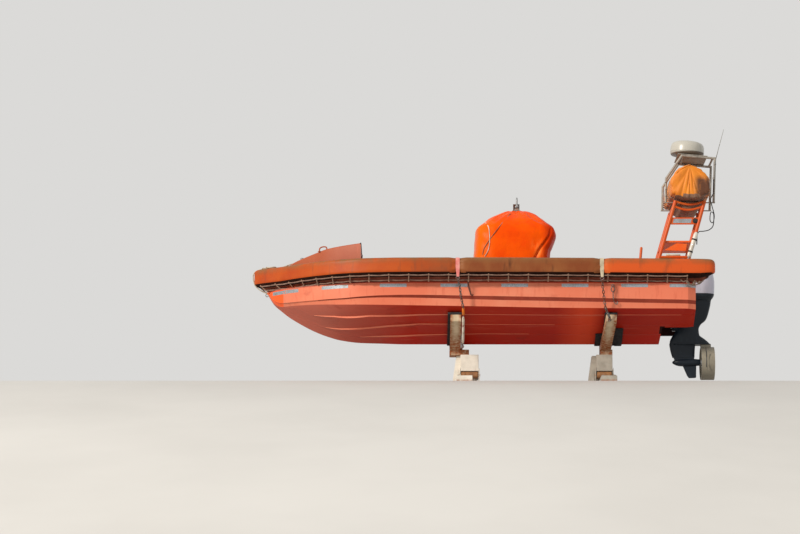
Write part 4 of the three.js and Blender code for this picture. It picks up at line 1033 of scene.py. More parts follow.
def gloss_cover_finish():
    """Coated PVC tarpaulin: saturated orange with a wet gloss, crinkled finely and streaked darker red.
    It carries painted light: paler orange at the fore end, a highlight on a fold, and red shade astern.
    """
    material, tree = surface("gloss_tarpaulin", "#EC5200", 0.34, IOR=1.3, Specular_IOR_Level=0.14)
    colour = layered(tree, "#EC5200", "#E44600", patches(tree, 260, 0.4, 0.65))
    # Painted light: paler, yellower orange at the fore end, towards the light
    colour = layered(tree, colour, "#E46206", axis_mask(tree, "X", -0.1, 0.12))
    colour = layered(tree, colour, "#C03204", patches(tree, 130, 0.6, 0.9, (1, 1, 0.3), 3.0))
    # Painted highlight: a glint on a fold amidships
    glint = both(tree, axis_mask(tree, "X", -0.55, -0.65), axis_mask(tree, "X", -0.78, -0.68))
    glint = both(tree, both(tree, glint, axis_mask(tree, "Z", 2.1, 1.98)), axis_mask(tree, "Z", 1.76, 1.86))
    glint = both(tree, glint, patches(tree, 90, 0.4, 0.7, (1, 1, 0.3), 4.0))
    colour = layered(tree, colour, "#FF8C3C", glint)
    # Painted shade: deeper red at the aft end, which turns away from the light
    colour = layered(tree, colour, "#C83404", axis_mask(tree, "X", -0.72, -0.84))
    return dressed(
        material, colour, [(patches(tree, 130, 0, 1, (1, 1, 0.45)), 9.0), (patches(tree, 34, 0, 1), 1.4)]
    )


def make_console_cover():
    levels = np.concatenate([np.linspace(1136.2, 2100, 40), np.linspace(2112, 2538, 46)])
    rings = []
    for z in levels:
        rings.append(hull_mm([cover_at(2 * math.pi * i / COVER_TURNS, z) for i in range(COVER_TURNS)]))
    cover = make_piece(
        "console_tarpaulin", skin(rings), gloss_cover_finish(), smooth=75
    )
    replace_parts(cover, "console_cover")

    def on_cover(x, z, proud):
        """A point on the port side of the cover at a place along the boat and a height."""
        fore, aft = (float(smooth_column(COVER_Z, column, z)) for column in (COVER_FORE, COVER_AFT))
        share = np.clip((x - (fore + aft) / 2) / ((fore - aft) / 2), -0.98, 0.98)
        turn = math.acos(math.copysign(abs(share) ** (1 / cover_power(z)), share))
        return cover_at(turn, z, proud)

    tails = {
        "tie_cord_pale": (
            [(-20, 2335), (-58, 2250), (-78, 2140), (-76, 2000), (-50, 1900), (-6, 1834)], "#D9D5CB", 6
        ),
        "tie_cord_dark": (
            [(-380, 2470), (-360, 2455), (-220, 2260), (-66, 2050), (0, 1950), (25, 1863)], "#6B4A35", 5
        ),
    }
    for name, (route, colour, radius) in tails.items():
        path = fair_path([on_cover(x, z, radius) for x, z in route], 12)
        cord = rod_skin(path, radius, 8, 3)
        make_piece(name, cord, rope_finish(name, colour, "#8B7A66"), smooth=60)
    hoop = [
        (-470 + 165 * math.cos(t), 105 * math.sin(t), 2528 + 4 * math.sin(3 * t))
        for t in np.linspace(0, 2 * math.pi, 48)
    ]
    cord = rope_finish("gather_cord", "#CFC8B8", "#8B7A66")
    make_piece("gather_cord", rod_skin(hoop, 6, 8, 3), cord)


make_console_cover()

# Lifting link: the eye plate of the lifting frame with its bow shackle, of rusted galvanised steel.
LINK_X = -470
LINK_BASE_Z = 2540.3


def make_lifting_link():
    x, base = LINK_X, LINK_BASE_Z
    foot_shape = box_mm(x - 60, x + 60, -45, 45, base, base + 14)
    foot = make_piece("link_foot", foot_shape, RUSTED_STEEL, bevel=0.002)
    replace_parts(foot, "lifting_link")
    plate_shape = box_mm(x - 45, x + 45, -10, 10, base + 14, base + 110)
    plate = make_piece("link_plate", plate_shape, RUSTED_STEEL)
    cut_away(plate, [rod_skin([(x, -20, base + 74), (x, 20, base + 74)], 18, 24)])
    arc = [
        (x - 8, 36 * math.cos(t), base + 150 + 46 * math.sin(t))
        for t in np.linspace(0.05, math.pi - 0.05, 20)
    ]
    bow = [
        (x - 8, 34, base + 74),
        (x - 8, 36, base + 110),
        *arc,
        (x - 8, -36, base + 110),
        (x - 8, -34, base + 74),
    ]
    pin = [(x - 8, y, base + 74) for y in (-58, -56, -46, -45.9, 46, 46.1, 60, 62)]
    parts = [rod_skin(fair_path(bow, 6), 11, 14), rod_skin(pin, [9, 18, 18, 13, 13, 20, 20, 12], 6)]
    make_piece("bow_shackle", merged(parts), ZINC_STEEL, smooth=50)


make_lifting_link()

# Mast: two side frames of raked steel tube on flanged feet, tied by cross tubes and a folded shelf.
# It is sprayed orange over primer, and rust shows at the welds and where the paint is chipped. The shelf
# and the port gusset take a lighter orange as painted sunlight. The port frame also carries a gusset
# under the shelf, a roll of pale canvas, a strip of tape and a lamp.
MAST_Y = 500
MAST_TUBE = 26
MAST_TOP_Z = 2598
LEG_ENDS = {
    "fore": ((-2252, 1135.6), (-2686, MAST_TOP_Z + 14)),
    "aft": ((-2748, 1384.3), (-3093, MAST_TOP_Z + 10)),
}
RUNG_Z = 1812


def leg_x(which, z):
    (foot_x, foot_z), (top_x, top_z) = LEG_ENDS[which]
    return foot_x + (top_x - foot_x) * (z - foot_z) / (top_z - foot_z)


def paint_finish(name, colour, faded, rust, share=0.0):
    """Sprayed enamel on steel: a hard gloss, chalked in patches, with rust specks and runs below them."""
    material, tree = surface(name, colour, 0.4, IOR=1.5, Specular_IOR_Level=0.3)
    tone = layered(tree, colour, faded, patches(tree, 180, 0.4, 0.7))
    tone = layered(tree, tone, rust, patches(tree, 55, 0.7 - share, 0.84 - share, (1, 1, 0.4), 8.0))
    return dressed(material, tone, [(patches(tree, 25, 0, 1), 0.3)])


MAST_PAINT = paint_finish("orange_enamel", "#CC4C0C", "#C05A20", "#6A2E10")


def bolt_heads(places, normal, radius=9, height=6):
    """Hexagon heads with a washer under each, at places in mm, standing out along a normal."""
    normal = Vector(normal).normalized()
    side = normal.orthogonal().normalized()
    other = normal.cross(side)
    shapes = []
    for place in places:
        for sides, reach, low, high in ((16, radius * 1.5, 0, 1.6), (6, radius, 1.6, height)):
            rings = []
            for level in (low, high):
                ring = []
                for i in range(sides):
                    turn = 2 * math.pi * i / sides
                    spot = Vector(place) + normal * level + (
                        side * math.cos(turn) + other * math.sin(turn)
                    ) * reach
                    ring.append(tuple(spot))
                rings.append(hull_mm(ring))
            shapes.append(skin(rings))
    return merged(shapes)


def make_port_fittings(sunlit_enamel):
    """What only the port side frame carries."""
    y = MAST_Y
    gusset = [(-2514, 1908), (-2694, 2008), (-2842, 2000), (-2822, 1898)]
    make_piece("mast_gusset", prism(gusset, y - 7, y + 7), sunlit_enamel, bevel=0.002)
    roll = rod_skin([(x, y, 1842) for x in (-2545, -2549, -2741, -2745)], [8, 12, 12, 8], 16)
    canvas = rope_finish("pale_canvas", "#CDC1AC", "#A8997F")
    make_piece("mast_pale_roll", roll, canvas, smooth=50)
    band = [(leg_x("fore", 2300) - 50, 2296), (leg_x("fore", 2356) - 50, 2356)]
    band += [(leg_x("aft", 2356) + 110, 2356), (leg_x("aft", 2296) + 110, 2296)]
    strip = prism(band, y + 5.6, y + 7)
    make_piece("mast_tape_port", strip, tape_finish())
    stack = [(leg_x("aft", 2330) + 56, y + 7 + proud, 2326) for proud in (0, 2, 14, 18, 20)]
    lamp = rod_skin(stack, [34, 36, 36, 30, 10], 28)
    make_piece("mast_lamp_port", lamp, RUBBER, smooth=50)


def make_mast():
    # Painted sunlight: the shelf and the port gusset take a lighter copy of the orange enamel
    sunlit_enamel = paint_finish("shelf_enamel", "#E65A12", "#DC6A2A", "#8A2C14", 0.06)
    for side, sign in BOTH_SIDES:
        y = sign * MAST_Y
        tubes, bolts = [], []
        for which, (foot, top) in LEG_ENDS.items():
            start = foot[1] + 10
            tubes.append(rod_skin([(leg_x(which, start), y, start), (top[0], y, top[1])], MAST_TUBE, 24))
            weld = [(leg_x(which, foot[1] + 16 + k), y, foot[1] + 16 + k) for k in (0, 5, 10)]
            tubes.append(rod_skin(weld, [MAST_TUBE + 7, MAST_TUBE + 5, MAST_TUBE], 24))
            bolts += [(foot[0] + dx, y + dy, foot[1] + 12) for dx in (-42, 42) for dy in (-32, 32)]
        tubes.append(rod_skin([(leg_x(which, RUNG_Z), y, RUNG_Z) for which in ("fore", "aft")], 20, 20))
        for dip, z_end in ((46, 2606), (52, 2536)):
            share = np.linspace(0, 1, 13)
            xs = leg_x("fore", z_end) + (leg_x("aft", z_end) - leg_x("fore", z_end)) * share
            rail = np.column_stack([xs, share * 0 + y, z_end - dip * np.sin(math.pi * share)])
            tubes.append(rod_skin(rail, 16, 14))
        tubing = merged(tubes)
        side_frame = make_piece(f"mast_tubes_{side}", tubing, MAST_PAINT, smooth=50)
        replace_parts(side_frame, f"mast_side_{side}")
        feet = [box_mm(f[0] - 55, f[0] + 55, y - 45, y + 45, f[1], f[1] + 12) for f, _ in LEG_ENDS.values()]
        if side == "port":
            corners = (("fore", 2275), ("fore", 2375), ("aft", 2375), ("aft", 2275))
            feet.append(prism([(leg_x(which, z), z) for which, z in corners], y - 6, y + 6))
        make_piece(f"mast_plates_{side}", merged(feet), MAST_PAINT, bevel=0.003)
        heads = bolt_heads(bolts, (0, 0, 1))
        make_piece(f"mast_bolts_{side}", heads, ZINC_STEEL, smooth=20)
        if side == "port":
            make_port_fittings(sunlit_enamel)
    carry_over(MAST_PAINT, "mast_cross_fore", "mast_cross_aft")
    carry_over(sunlit_enamel, "mast_shelf")


make_mast()

# Righting bag: an inflatable bag packed under a sewn hood across the mast head. The hood is yellow-orange
# coated nylon, pleated at the ends and laced below; its browned belly hangs between the side frames.
BAG_SECTION = [
    (-2866, 3118), (-2770, 3088), (-2690, 3030), (-2632, 2955), (-2600, 2870), (-2594, 2770), (-2606, 2680),
    (-2690, 2617), (-2780, 2600), (-2890, 2590), (-3000, 2600), (-3080, 2617), (-3160, 2680), (-3176, 2780),
    (-3168, 2880), (-3128, 2962), (-3060, 3030), (-2968, 3086),
]
BAG_HALF = 670
BAG_MIDDLE = (-2890, 2850)
BAG_HEM_Z = 2668
BELLY_SECTION = [
    (-2726, 2608), (-2722, 2560), (-2764, 2490), (-2872, 2452), (-2984, 2482), (-3034, 2545), (-3036, 2608),
]
BELLY_HALF = 462
BELLY_MIDDLE = (-2880, 2600)


def nylon_finish():
    """Polyurethane-coated nylon: yellow-orange with a satin face, sun-browned where the pleats lie close."""
    material, tree = surface("coated_nylon", "#DC810C", 0.6, Sheen_Weight=0.1)
    colour = layered(tree, "#DE840C", "#CC6C0A", patches(tree, 200, 0.4, 0.7, (1, 1, 0.3)))
    stain = both(tree, axis_mask(tree, "X", -2.84, -2.92), axis_mask(tree, "Z", 2.96, 2.88))
    stain = both(tree, both(tree, stain, axis_mask(tree, "Y", 0.5, 0.6)), patches(tree, 160, 0.2, 0.5))
    colour = layered(tree, colour, "#8A5018", patches(tree, 240, 0.62, 0.86, (1, 1, 0.5), 11.0))
    colour = layered(tree, colour, "#5A3012", stain)
    return dressed(
        material, colour, [(patches(tree, 90, 0, 1, (1, 1, 0.3)), 4.0), (patches(tree, 5, 0, 1), 0.15)]
    )


def belly_finish():
    """The bag's own fabric below the hood: matt, browned with damp and soot, orange at its fore edge."""
    material, tree = surface("belly_nylon", "#9A7A68", 0.8)
    tone = layered(tree, "#8A6854", "#644636", patches(tree, 110, 0.4, 0.75))
    tone = layered(tree, tone, "#D87E14", axis_mask(tree, "X", -2.56, -2.53))
    return dressed(material, tone, [(patches(tree, 60, 0, 1, (1, 1, 0.5)), 4.0)])


def closed_outline(rows, count):
    """Evenly spaced points round a closed outline."""
    rows = np.array([*rows, rows[0]], float)
    run = run_along(rows)
    at = np.linspace(0, run[-1], count, endpoint=False)
    return np.column_stack([np.interp(at, run, rows[:, i]) for i in range(2)])


def bag_ring(share, count=150):
    """The hood's section at a share of its half length: slack between its straps, and a hem all round."""
    size = float(np.interp(abs(share), [0, 0.86, 0.94, 0.98, 1], [1, 1, 0.99, 0.975, 0.95]))
    ring = []
    for x, z in closed_outline(BAG_SECTION, count):
        turn = math.atan2(z - BAG_MIDDLE[1], x - BAG_MIDDLE[0])
        slack = 0.012 * (1 + math.sin(9 * turn + 4 * share)) + 0.01 * (1 + math.sin(23 * share + 3 * turn))
        strap = 0.02 * hump(abs(share), 0.6, 0.05)
        pleat = 0.035 * abs(share) ** 6 * wave(19 * turn)
        tucked = 0.07 * float(np.clip((BAG_HEM_Z - z) / 8, 0, 1))
        scale = size * (1 - slack - strap) - pleat - tucked
        dx, dz = (x - BAG_MIDDLE[0]) * scale, (z - BAG_MIDDLE[1]) * scale
        ring.append((BAG_MIDDLE[0] + dx, BAG_MIDDLE[1] + dz))
    return ring


def draped_end(points, faces, ring, first, share):
    """Closes the hood's end with cloth that falls from its peak in a fan of folds."""
    count = len(ring)
    peak_x = ring[:, 0].mean() * 0.3 + ring[ring[:, 2].argmax()][0] * 0.7
    peak = np.array([peak_x, ring[0][1], ring[:, 2].max() - 0.004])
    before = first
    for scale in (0.9, 0.75, 0.58, 0.4, 0.22):
        start = len(points)
        for edge in ring:
            spot = peak + (edge - peak) * scale
            fan = math.atan2(spot[0] - peak[0], peak[2] - spot[2] + 1e-6)
            far = min(1.0, math.hypot(spot[0] - peak[0], spot[2] - peak[2]) / 0.3)
            fold = wave(15 * fan + 2 * math.sin(5 * fan))
            swell = 0.016 * math.sin(math.pi * scale) - 0.03 * fold**2 * far
            tucked = 0.03 if spot[2] < BAG_HEM_Z / 1000 else 0.0
            spot[1] += math.copysign(swell, share) - math.copysign(tucked, share)
            points.append(tuple(spot))
        for i in range(count):
            j = (i + 1) % count
            faces.append((before + i, before + j, start + j, start + i))
        before = start
    points.append(tuple(peak))
    faces += [(before + i, before + (i + 1) % count, len(points) - 1) for i in range(count)]


def make_righting_bag():
    end = np.linspace(0.74, 1, 18)
    shares = np.concatenate([-end[::-1], np.linspace(-0.7, 0.7, 44), end])
    rings = [hull_mm([(x, share * BAG_HALF, z) for x, z in bag_ring(share)]) for share in shares]
    points, faces = skin(rings, capped=False)
    draped_end(points, faces, rings[0], 0, -1)
    draped_end(points, faces, rings[-1], (len(rings) - 1) * len(rings[0]), 1)
    hood = [nylon_finish(), belly_finish()]
    bag = make_piece("righting_bag_hood", (points, faces), hood, smooth=60)
    for polygon in bag.data.polygons:
        polygon.material_index = 1 if polygon.center.z < (BAG_HEM_Z - 3) / 1000 else 0
    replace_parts(bag, "righting_bag")
    rings = []
    for share in np.concatenate([[-1, -0.97], np.linspace(-0.9, 0.9, 25), [0.97, 1]]):
        size = 1 - 0.4 * abs(share) ** 12
        sag = 1 - 0.05 * (0.5 + 0.5 * math.cos(7 * share))
        ring = []
        for x, z in closed_outline(BELLY_SECTION, 60):
            dx, dz = (x - BELLY_MIDDLE[0]) * size, (z - BELLY_MIDDLE[1]) * size * sag
            ring.append((BELLY_MIDDLE[0] + dx, share * (BELLY_HALF - 4), BELLY_MIDDLE[1] + dz))
        rings.append(hull_mm(ring))
    belly = make_piece("righting_bag_belly", skin(rings), hood[1], smooth=60)
    web = rope_finish("grey_web", "#8E8A86", "#6E6A66")
    bands = []
    for share in (-0.6, -0.2, 0.2, 0.6):
        ring = np.array(bag_ring(share, 60))
        ring += (ring - BAG_MIDDLE) * 0.006
        bands.append(rod_skin([(x, share * BAG_HALF, z) for x, z in [*ring, ring[0]]], 6, 6))
    make_piece("bag_straps", merged(bands), web, smooth=50)
    cord = []
    for y in (352, -352):
        zigzag = [(-2640 if i % 2 else -2576, y, 2640 + 14 * i) for i in range(9)]
        cord.append(rod_skin(fair_path(zigzag, 10), 3.5, 7))
    lacing = rope_finish("lacing_cord", "#4A443E", "#6A6258")
    make_piece("bag_lacing", merged(cord), lacing, smooth=60)


make_righting_bag()

# Radar: a radome of white GRP on a tilted aluminium plate, carried over the bag by two hoops of light
# tube; its cable is clipped down the port hoop. Beside it stands a tapered whip antenna.
RADAR_Y = 330
RADAR_X = -2889
RADAR_PLATE_Z = 3300
RADAR_TILT = math.radians(5)
RADOME_FOOT = (3.385, 3.372)
WHIP_Y = RADAR_Y + 31.3


def plastic_finish(name, colour, dirt, foot=None):
    """Moulded or sprayed GRP: smooth, slightly orange-peeled, with a film of soot and drip marks.
    A foot, two heights in metres, is where it turns dark towards its base."""
    material, tree = surface(name, colour, 0.3, IOR=1.5, Coat_Weight=0.2)
    tone = layered(tree, colour, dirt, patches(tree, 90, 0.55, 0.9, (1, 1, 0.25)))
    if foot:
        tone = layered(tree, tone, "#5E4E40", axis_mask(tree, "Z", *foot))
    return dressed(material, tone, [(patches(tree, 7, 0, 1), 0.08)])


def aluminium_finish():
    """Mill-finish aluminium tube and plate: dull silver, oxidised to grey spots in the salt."""
    material, tree = surface("weathered_aluminium", "#9A958C", 0.6, Metallic=0.3)
    tone = layered(tree, "#A09A90", "#77726A", patches(tree, 45, 0.4, 0.75))
    return dressed(material, tone, [(patches(tree, 12, 0, 1), 0.15)])


def turned_skin(profile, sides=48):
    """Points and faces of a turned shape about Z, from radius and height pairs in mm."""
    turns = [2 * math.pi * i / sides for i in range(sides)]
    rings = []
    for radius, height in profile:
        reach = max(radius, 0.02)
        rings.append([(reach * math.cos(t), reach * math.sin(t), height) for t in turns])
    return skin(rings)


def placed(shape, matrix):
    """A shape in its own millimetres, turned and moved to its place on the boat."""
    points, faces = shape
    return hull_mm([tuple(matrix @ Vector(p)) for p in points]), faces


def make_radar():
    white = plastic_finish("radome_grp", "#B4B1A7", "#8C8476", RADOME_FOOT)
    tilt = Matrix.Translation((RADAR_X, 0, RADAR_PLATE_Z)) @ Matrix.Rotation(-RADAR_TILT, 4, "Y")
    heights = np.array(
        [8.3, 8.4, 30, 42, 48, 60, 84, 84.5, 88, 88.5, 128, 170, 200, 222, 238, 248, 253, 254.3]
    )
    radii = [1, 118, 122, 200, 224, 234, 239, 235, 235, 239.5, 239.5, 236, 226, 208, 172, 120, 60, 1]
    dome = placed(turned_skin(list(zip(radii, heights)), 64), tilt)
    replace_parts(make_piece("radome_shell", dome, white, smooth=32), "radome")
    metal = aluminium_finish()
    carry_over(metal, "radar_frame", "radar_plate")
    clips = []
    for z in (2700, 2800, 2900):
        clips.append(rod_skin([(-2564, RADAR_Y - 24, z), (-2566, RADAR_Y + 24, z)], 6, 8))
    make_piece("radar_clips", merged(clips), RUBBER, smooth=50)
    y = WHIP_Y
    whip = [rod_skin([(-3240, y, 2940), (-3246, y, 3010), (-3262, y, 3200)], [14, 14, 12], 16)]
    rod = [(-3262, y, 3196), (-3270, y, 3228), (-3300, y, 3340), (-3389, y, 3659.5)]
    whip.append(rod_skin(rod, [9, 7, 5, 2.6], 12))
    for z in (2962, 3160):
        x = -3240 - (z - 2940) * 0.085
        whip.append(rod_skin([(x + 1, y, z - 9), (x, y, z + 9)], 18, 16))
    grey = plastic_finish("whip_grp", "#77756F", "#55534E")
    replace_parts(make_piece("whip_rod", merged(whip), grey, smooth=50), "whip_antenna")


make_radar()

# Inflation bottle: a small gas cylinder for the bag, strapped to the port aft leg with its valve down.
# It is steel in off-white enamel, with two dark straps and a galvanised valve.
def make_bottle():
    y = MAST_Y + MAST_TUBE + 34 - 0.6
    low = Vector((leg_x("aft", 1800) + 10, y, 1800))
    way = Vector((leg_x("aft", 2190) - 6, y, 2190)) - low
    place = Matrix.Translation(low) @ way.to_track_quat("Z", "Y").to_matrix().to_4x4()
    white = plastic_finish("bottle_enamel", "#CFCBC0", "#94806A")
    shell = [(1, 0), (20, 3), (30, 14), (32, 34), (32, 330), (30, 350), (20, 368), (12, 376), (1, 378)]
    body = placed(turned_skin(shell, 32), place)
    bottle = make_piece("gas_bottle", body, white, smooth=50)
    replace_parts(bottle, "inflation_bottle")
    bands = []
    for h in (72, 252):
        bands.append(placed(turned_skin([(31, h), (34, h), (34, h + 22), (31, h + 22)], 32), place))
    make_piece("bottle_straps", merged(bands), RUBBER, smooth=50)
    stem = [(1, -68), (13, -66), (13, -44), (9, -40), (9, -8), (15, -4), (15, 2)]
    valve = placed(turned_skin(stem, 20), place)
    make_piece("bottle_valve", valve, ZINC_STEEL, smooth=50)


make_bottle()

# Tow post: a raked steel post with a ball head on the port quarter, on a bolted foot.
def make_tow_post():
    x, y, foot = -2110, 780, 1135.6
    run = [(x, y, foot + 6), (x - 70, y, 1886), (x - 72, y, 1898), (x - 74, y, 1906), (x - 75, y, 1910)]
    shapes = [rod_skin(run, [19, 19, 18, 13, 3], 20)]
    shapes.append(box_mm(x - 60, x + 60, y - 60, y + 60, foot, foot + 12))
    post = make_piece("tow_post_bar", merged(shapes), MAST_PAINT, smooth=50)
    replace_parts(post, "tow_post")
    bolts = bolt_heads([(x + dx, y + dy, foot + 12) for dx in (-44, 44) for dy in (-44, 44)], (0, 0, 1))
    make_piece("tow_post_bolts", bolts, ZINC_STEEL, smooth=20)


make_tow_post()

# Outboard: a cast leg and moulded cowl hung on the motor well by a clamp bracket and a swivel bracket.
# The leg is navy enamel on aluminium, the cowl pale grey, and a ring guard hangs round the propeller.
PROPELLER_Z = 392
APRON_TOP = 1.33
COWL_ROWS = {
    "z": [1290.2, 1312, 1360, 1500, 1640, 1730, 1771.5],
    "fore": [-2622, -2608, -2600, -2600, -2604, -2620, -2680],
    "aft": [-3218, -3236, -3250, -3257, -3240, -3190, -3090],
    "half": [162, 178, 188, 194, 188, 164, 110],
}
LEG_ROWS = {
    "z": [654, 694, 737, 780, 864, 925, 985, 1034, 1147, 1230, 1262, 1268, 1289],
    "fore": [-2616, -2622, -2640, -2668, -2712, -2728, -2728, -2728, -2728, -2728, -2728, -2634, -2626],
    "aft": [-3186, -3146, -3092, -3038, -3030, -3056, -3124, -3150, -3184, -3202, -3206, -3208, -3214],
    "half": [44, 46, 48, 52, 58, 66, 76, 84, 98, 112, 120, 146, 158],
}
LOWER_ROWS = {
    "z": [460, 540, 640],
    "fore": [-2654, -2630, -2612],
    "aft": [-2966, -2970, -2978],
    "half": [40, 44, 50],
}
GUARD_X = -3143
GUARD_RADIUS = 233
GUARD_WALL = 14
GUARD_REACH = 93
GUARD_DROP = 14
# A blade's sections: distance from the axis, half its chord, and how far it is turned, in degrees
BLADE_ROWS = [
    (28, 30, 60), (60, 50, 51), (90, 62, 44), (120, 67, 38), (150, 62, 32), (170, 46, 28), (181, 16, 26)
]


def oval_ring(fore, aft, half, z, power, count=56):
    """A rounded-box ring between a fore and an aft end, as wide as twice half."""
    ring = []
    for i in range(count):
        turn = 2 * math.pi * i / count
        cosine, sine = math.cos(turn), math.sin(turn)
        x = (fore + aft) / 2 + (fore - aft) / 2 * math.copysign(abs(cosine) ** power, cosine)
        ring.append((x, half * math.copysign(abs(sine) ** power, sine), z))
    return ring


def oval_skin(rows, levels, power, count=56):
    rings = []
    for z in levels:
        fore, aft, half = (
            float(smooth_column(rows["z"], rows[name], z)) for name in ("fore", "aft", "half")
        )
        rings.append(hull_mm(oval_ring(fore, aft, half, z, power, count)))
    return skin(rings)


def enamel_finish(name, colour, scuffed, roughness=0.3):
    """Baked enamel on cast aluminium: a smooth gloss with scuffs down to grey primer and salt bloom."""
    material, tree = surface(name, colour, roughness, IOR=1.45, Specular_IOR_Level=0.35)
    tone = layered(tree, colour, scuffed, patches(tree, 70, 0.55, 0.85, (1, 1, 0.5)))
    return dressed(material, tone, [(patches(tree, 10, 0, 1), 0.1)])


def make_outboard():
    navy = enamel_finish("navy_enamel", "#121C26", "#26323C", 0.36)
    grey = enamel_finish("cowl_enamel", "#B9B9C6", "#9A9AA8", 0.22)
    levels = np.concatenate([[1290.2, 1300], np.linspace(1312, 1640, 14), np.linspace(1660, 1771.5, 16)])
    shell = oval_skin(COWL_ROWS, levels, 0.62)
    cowl = make_piece("cowl_shell", shell, [grey, navy], "outboard_motor", 40)
    for polygon in cowl.data.polygons:
        polygon.material_index = 1 if polygon.center.z < APRON_TOP else 0
    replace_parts(cowl, "motor_cowl")
    seam = hull_mm(oval_ring(-2598, -3252, 189.5, 1352, 0.62))
    low = hull_mm(oval_ring(-2604, -3244, 184.5, 1326, 0.62))
    band = skin([low, low + [0, 0, 0.001], seam])
    make_piece("cowl_band", band, navy, "outboard_motor", 40)
    levels = np.concatenate([np.linspace(654, 1262, 32), [1264, 1268, 1289]])
    parts = [oval_skin(LEG_ROWS, levels, 0.72, 44)]
    parts.append(oval_skin(LOWER_ROWS, np.linspace(460, 655, 9), 0.72, 44))
    hub = [
        (1, 2650), (14, 2656), (30, 2680), (44, 2712), (52, 2745), (56, 2800), (56, 2850), (52, 2960),
        (44, 3045), (1, 3046),
    ]
    stand = Matrix.Translation((0, 0, PROPELLER_Z)) @ Matrix.Rotation(-math.pi / 2, 4, "Y")
    parts.append(placed(turned_skin(hub, 40), stand))
    parts.append(prism([(-2700, 380), (-2950, 380), (-2962, 480), (-2664, 480)], -34, 34))
    leg = make_piece("leg_casting", merged(parts), navy, "outboard_motor", 40)
    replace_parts(leg, "motor_leg")
    skeg = [(-2780, 384), (-2990, 384), (-2985, 178), (-2960, 172), (-2885, 170), (-2860, 200)]
    wing = skin([hull_mm(oval_ring(-2664, -3196, 98, z, 0.55)) for z in (638, 650)])
    plates = [prism(skeg, -9, 9), wing]
    plates.append(box_mm(-2800, -2652, -40, 40, 836, 873.5))
    make_piece("leg_plates", merged(plates), navy, "outboard_motor", 35, bevel=0.003)
    shaft = rod_skin([(-2678, 0, 850), (-2678, 0, 1275)], 13.4, 24)
    make_piece("steering_shaft", shaft, ZINC_STEEL, "outboard_motor", 50)

    beige = paint_finish("guard_enamel", "#7C776A", "#8E8878", "#4E3A28", 0.04)
    middle_z, inner = PROPELLER_Z - GUARD_DROP, GUARD_RADIUS - GUARD_WALL
    wall = [(inner, -GUARD_REACH), (GUARD_RADIUS, -GUARD_REACH), (GUARD_RADIUS, GUARD_REACH)]
    wall += [(inner, GUARD_REACH), wall[0]]
    turn = Matrix.Translation((GUARD_X, 0, middle_z)) @ Matrix.Rotation(math.pi / 2, 4, "Y")
    points, faces = placed(turned_skin(wall, 72), turn)
    faces = [face for face in faces if len(face) == 4]
    ring = make_piece("guard_ring", (points[:-2], faces), beige, "outboard_motor", 40)
    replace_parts(ring, "propeller_guard")
    # Painted shade: a dark navy strip on the guard stands in for the shade seen through the slit between its
    # rings
    reach, arc = GUARD_RADIUS - 4, np.linspace(math.radians(-20), math.radians(62), 20)
    slot = [(GUARD_X + 26, reach * math.cos(t), middle_z + reach * math.sin(t)) for t in arc]
    make_piece("guard_slot", rod_skin(slot, 7, 10), navy, "outboard_motor", 50)
    lugs = [box_mm(GUARD_X - 50, GUARD_X + 90, y - 9, y + 9, 588, 637.7) for y in (-60, 60)]
    lugs += [box_mm(GUARD_X - 10, GUARD_X + 4, y - 3, y + 3, 250, 506) for y in (-235, 235)]
    make_piece("guard_lugs", merged(lugs), beige, "outboard_motor", bevel=0.002)

    hub = [(x, 0, PROPELLER_Z) for x in (-3046.4, -3060, -3140, -3150)]
    parts = [rod_skin(hub, [38, 40, 35, 28], 36)]
    for blade in range(3):
        third = Matrix.Rotation(blade * 2 * math.pi / 3, 3, "X")
        rings = []
        for reach, half, pitch in BLADE_ROWS:
            lean = math.radians(pitch)
            ring = []
            for i in range(16):
                around = 2 * math.pi * i / 16
                along, thick = half * math.cos(around), (4.5 - reach / 60) * math.sin(around)
                axial = math.sin(lean) * along + math.cos(lean) * thick
                sideways = math.cos(lean) * along - math.sin(lean) * thick
                spot = third @ Vector((axial, sideways, reach))
                ring.append((spot.x - 3101, spot.y, spot.z + PROPELLER_Z))
            rings.append(hull_mm(ring))
        parts.append(skin(rings))
    blades = make_piece("propeller_casting", merged(parts), ZINC_STEEL, "propeller", 50)
    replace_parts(blades, "propeller")
    carry_over(navy, "clamp_bracket", "swivel_bracket")
    carry_over(ZINC_STEEL, "powerhead")


make_outboard()

# Cradle: two V frames of welded plate on box pedestals. The arms are beige and rust in from every edge.
# The pedestals are white, the aft one greyed with soot, with a rusty roller under each side, and rubber
# pads line the arms.
CRADLES = {
    "fore": {
        "station": 402, "yaw": 0.0, "foot": 285, "box": (75, 328),
        "enamel": ("#E2DCD0", "#CCC6B8"),
        "pads": [(322, 515, 60, 858)],
    },
    "aft": {
        "station": -1728, "yaw": -0.06, "foot": -1715, "box": (-1801, -1575),
        "enamel": ("#A8A296", "#8A8478"),
        "pads": [(-1662, -1560, 40, 300), (-1940, -1836, 40, 440), (-1836, -1662, 60, 850)],
    },
}
ARM_HALF = 74
ARM_CLEAR = 42.6
ROLLER_Z = 196
DEADRISE = math.radians(21.5)


def cradle_finish(name, colour, stained, edges):
    """Enamel on plate steel: chalky, with rust creeping in from edges at given places along an axis."""
    material, tree = surface(name, colour, 0.6)
    tone = layered(tree, colour, stained, patches(tree, 120, 0.4, 0.75, seed=5.0))
    ragged = patches(tree, 42, 0.28, 0.6, seed=2.0)
    for axis, clean, rusty in edges:
        creep = both(tree, axis_mask(tree, axis, clean / 1000, rusty / 1000), ragged)
        tone = layered(tree, tone, "#96501F", creep)
    tone = layered(tree, tone, "#A8622E", patches(tree, 80, 0.68, 0.84, (1, 1, 0.3), 8.0))
    return dressed(material, tone, [(patches(tree, 16, 0, 1), 0.6)])


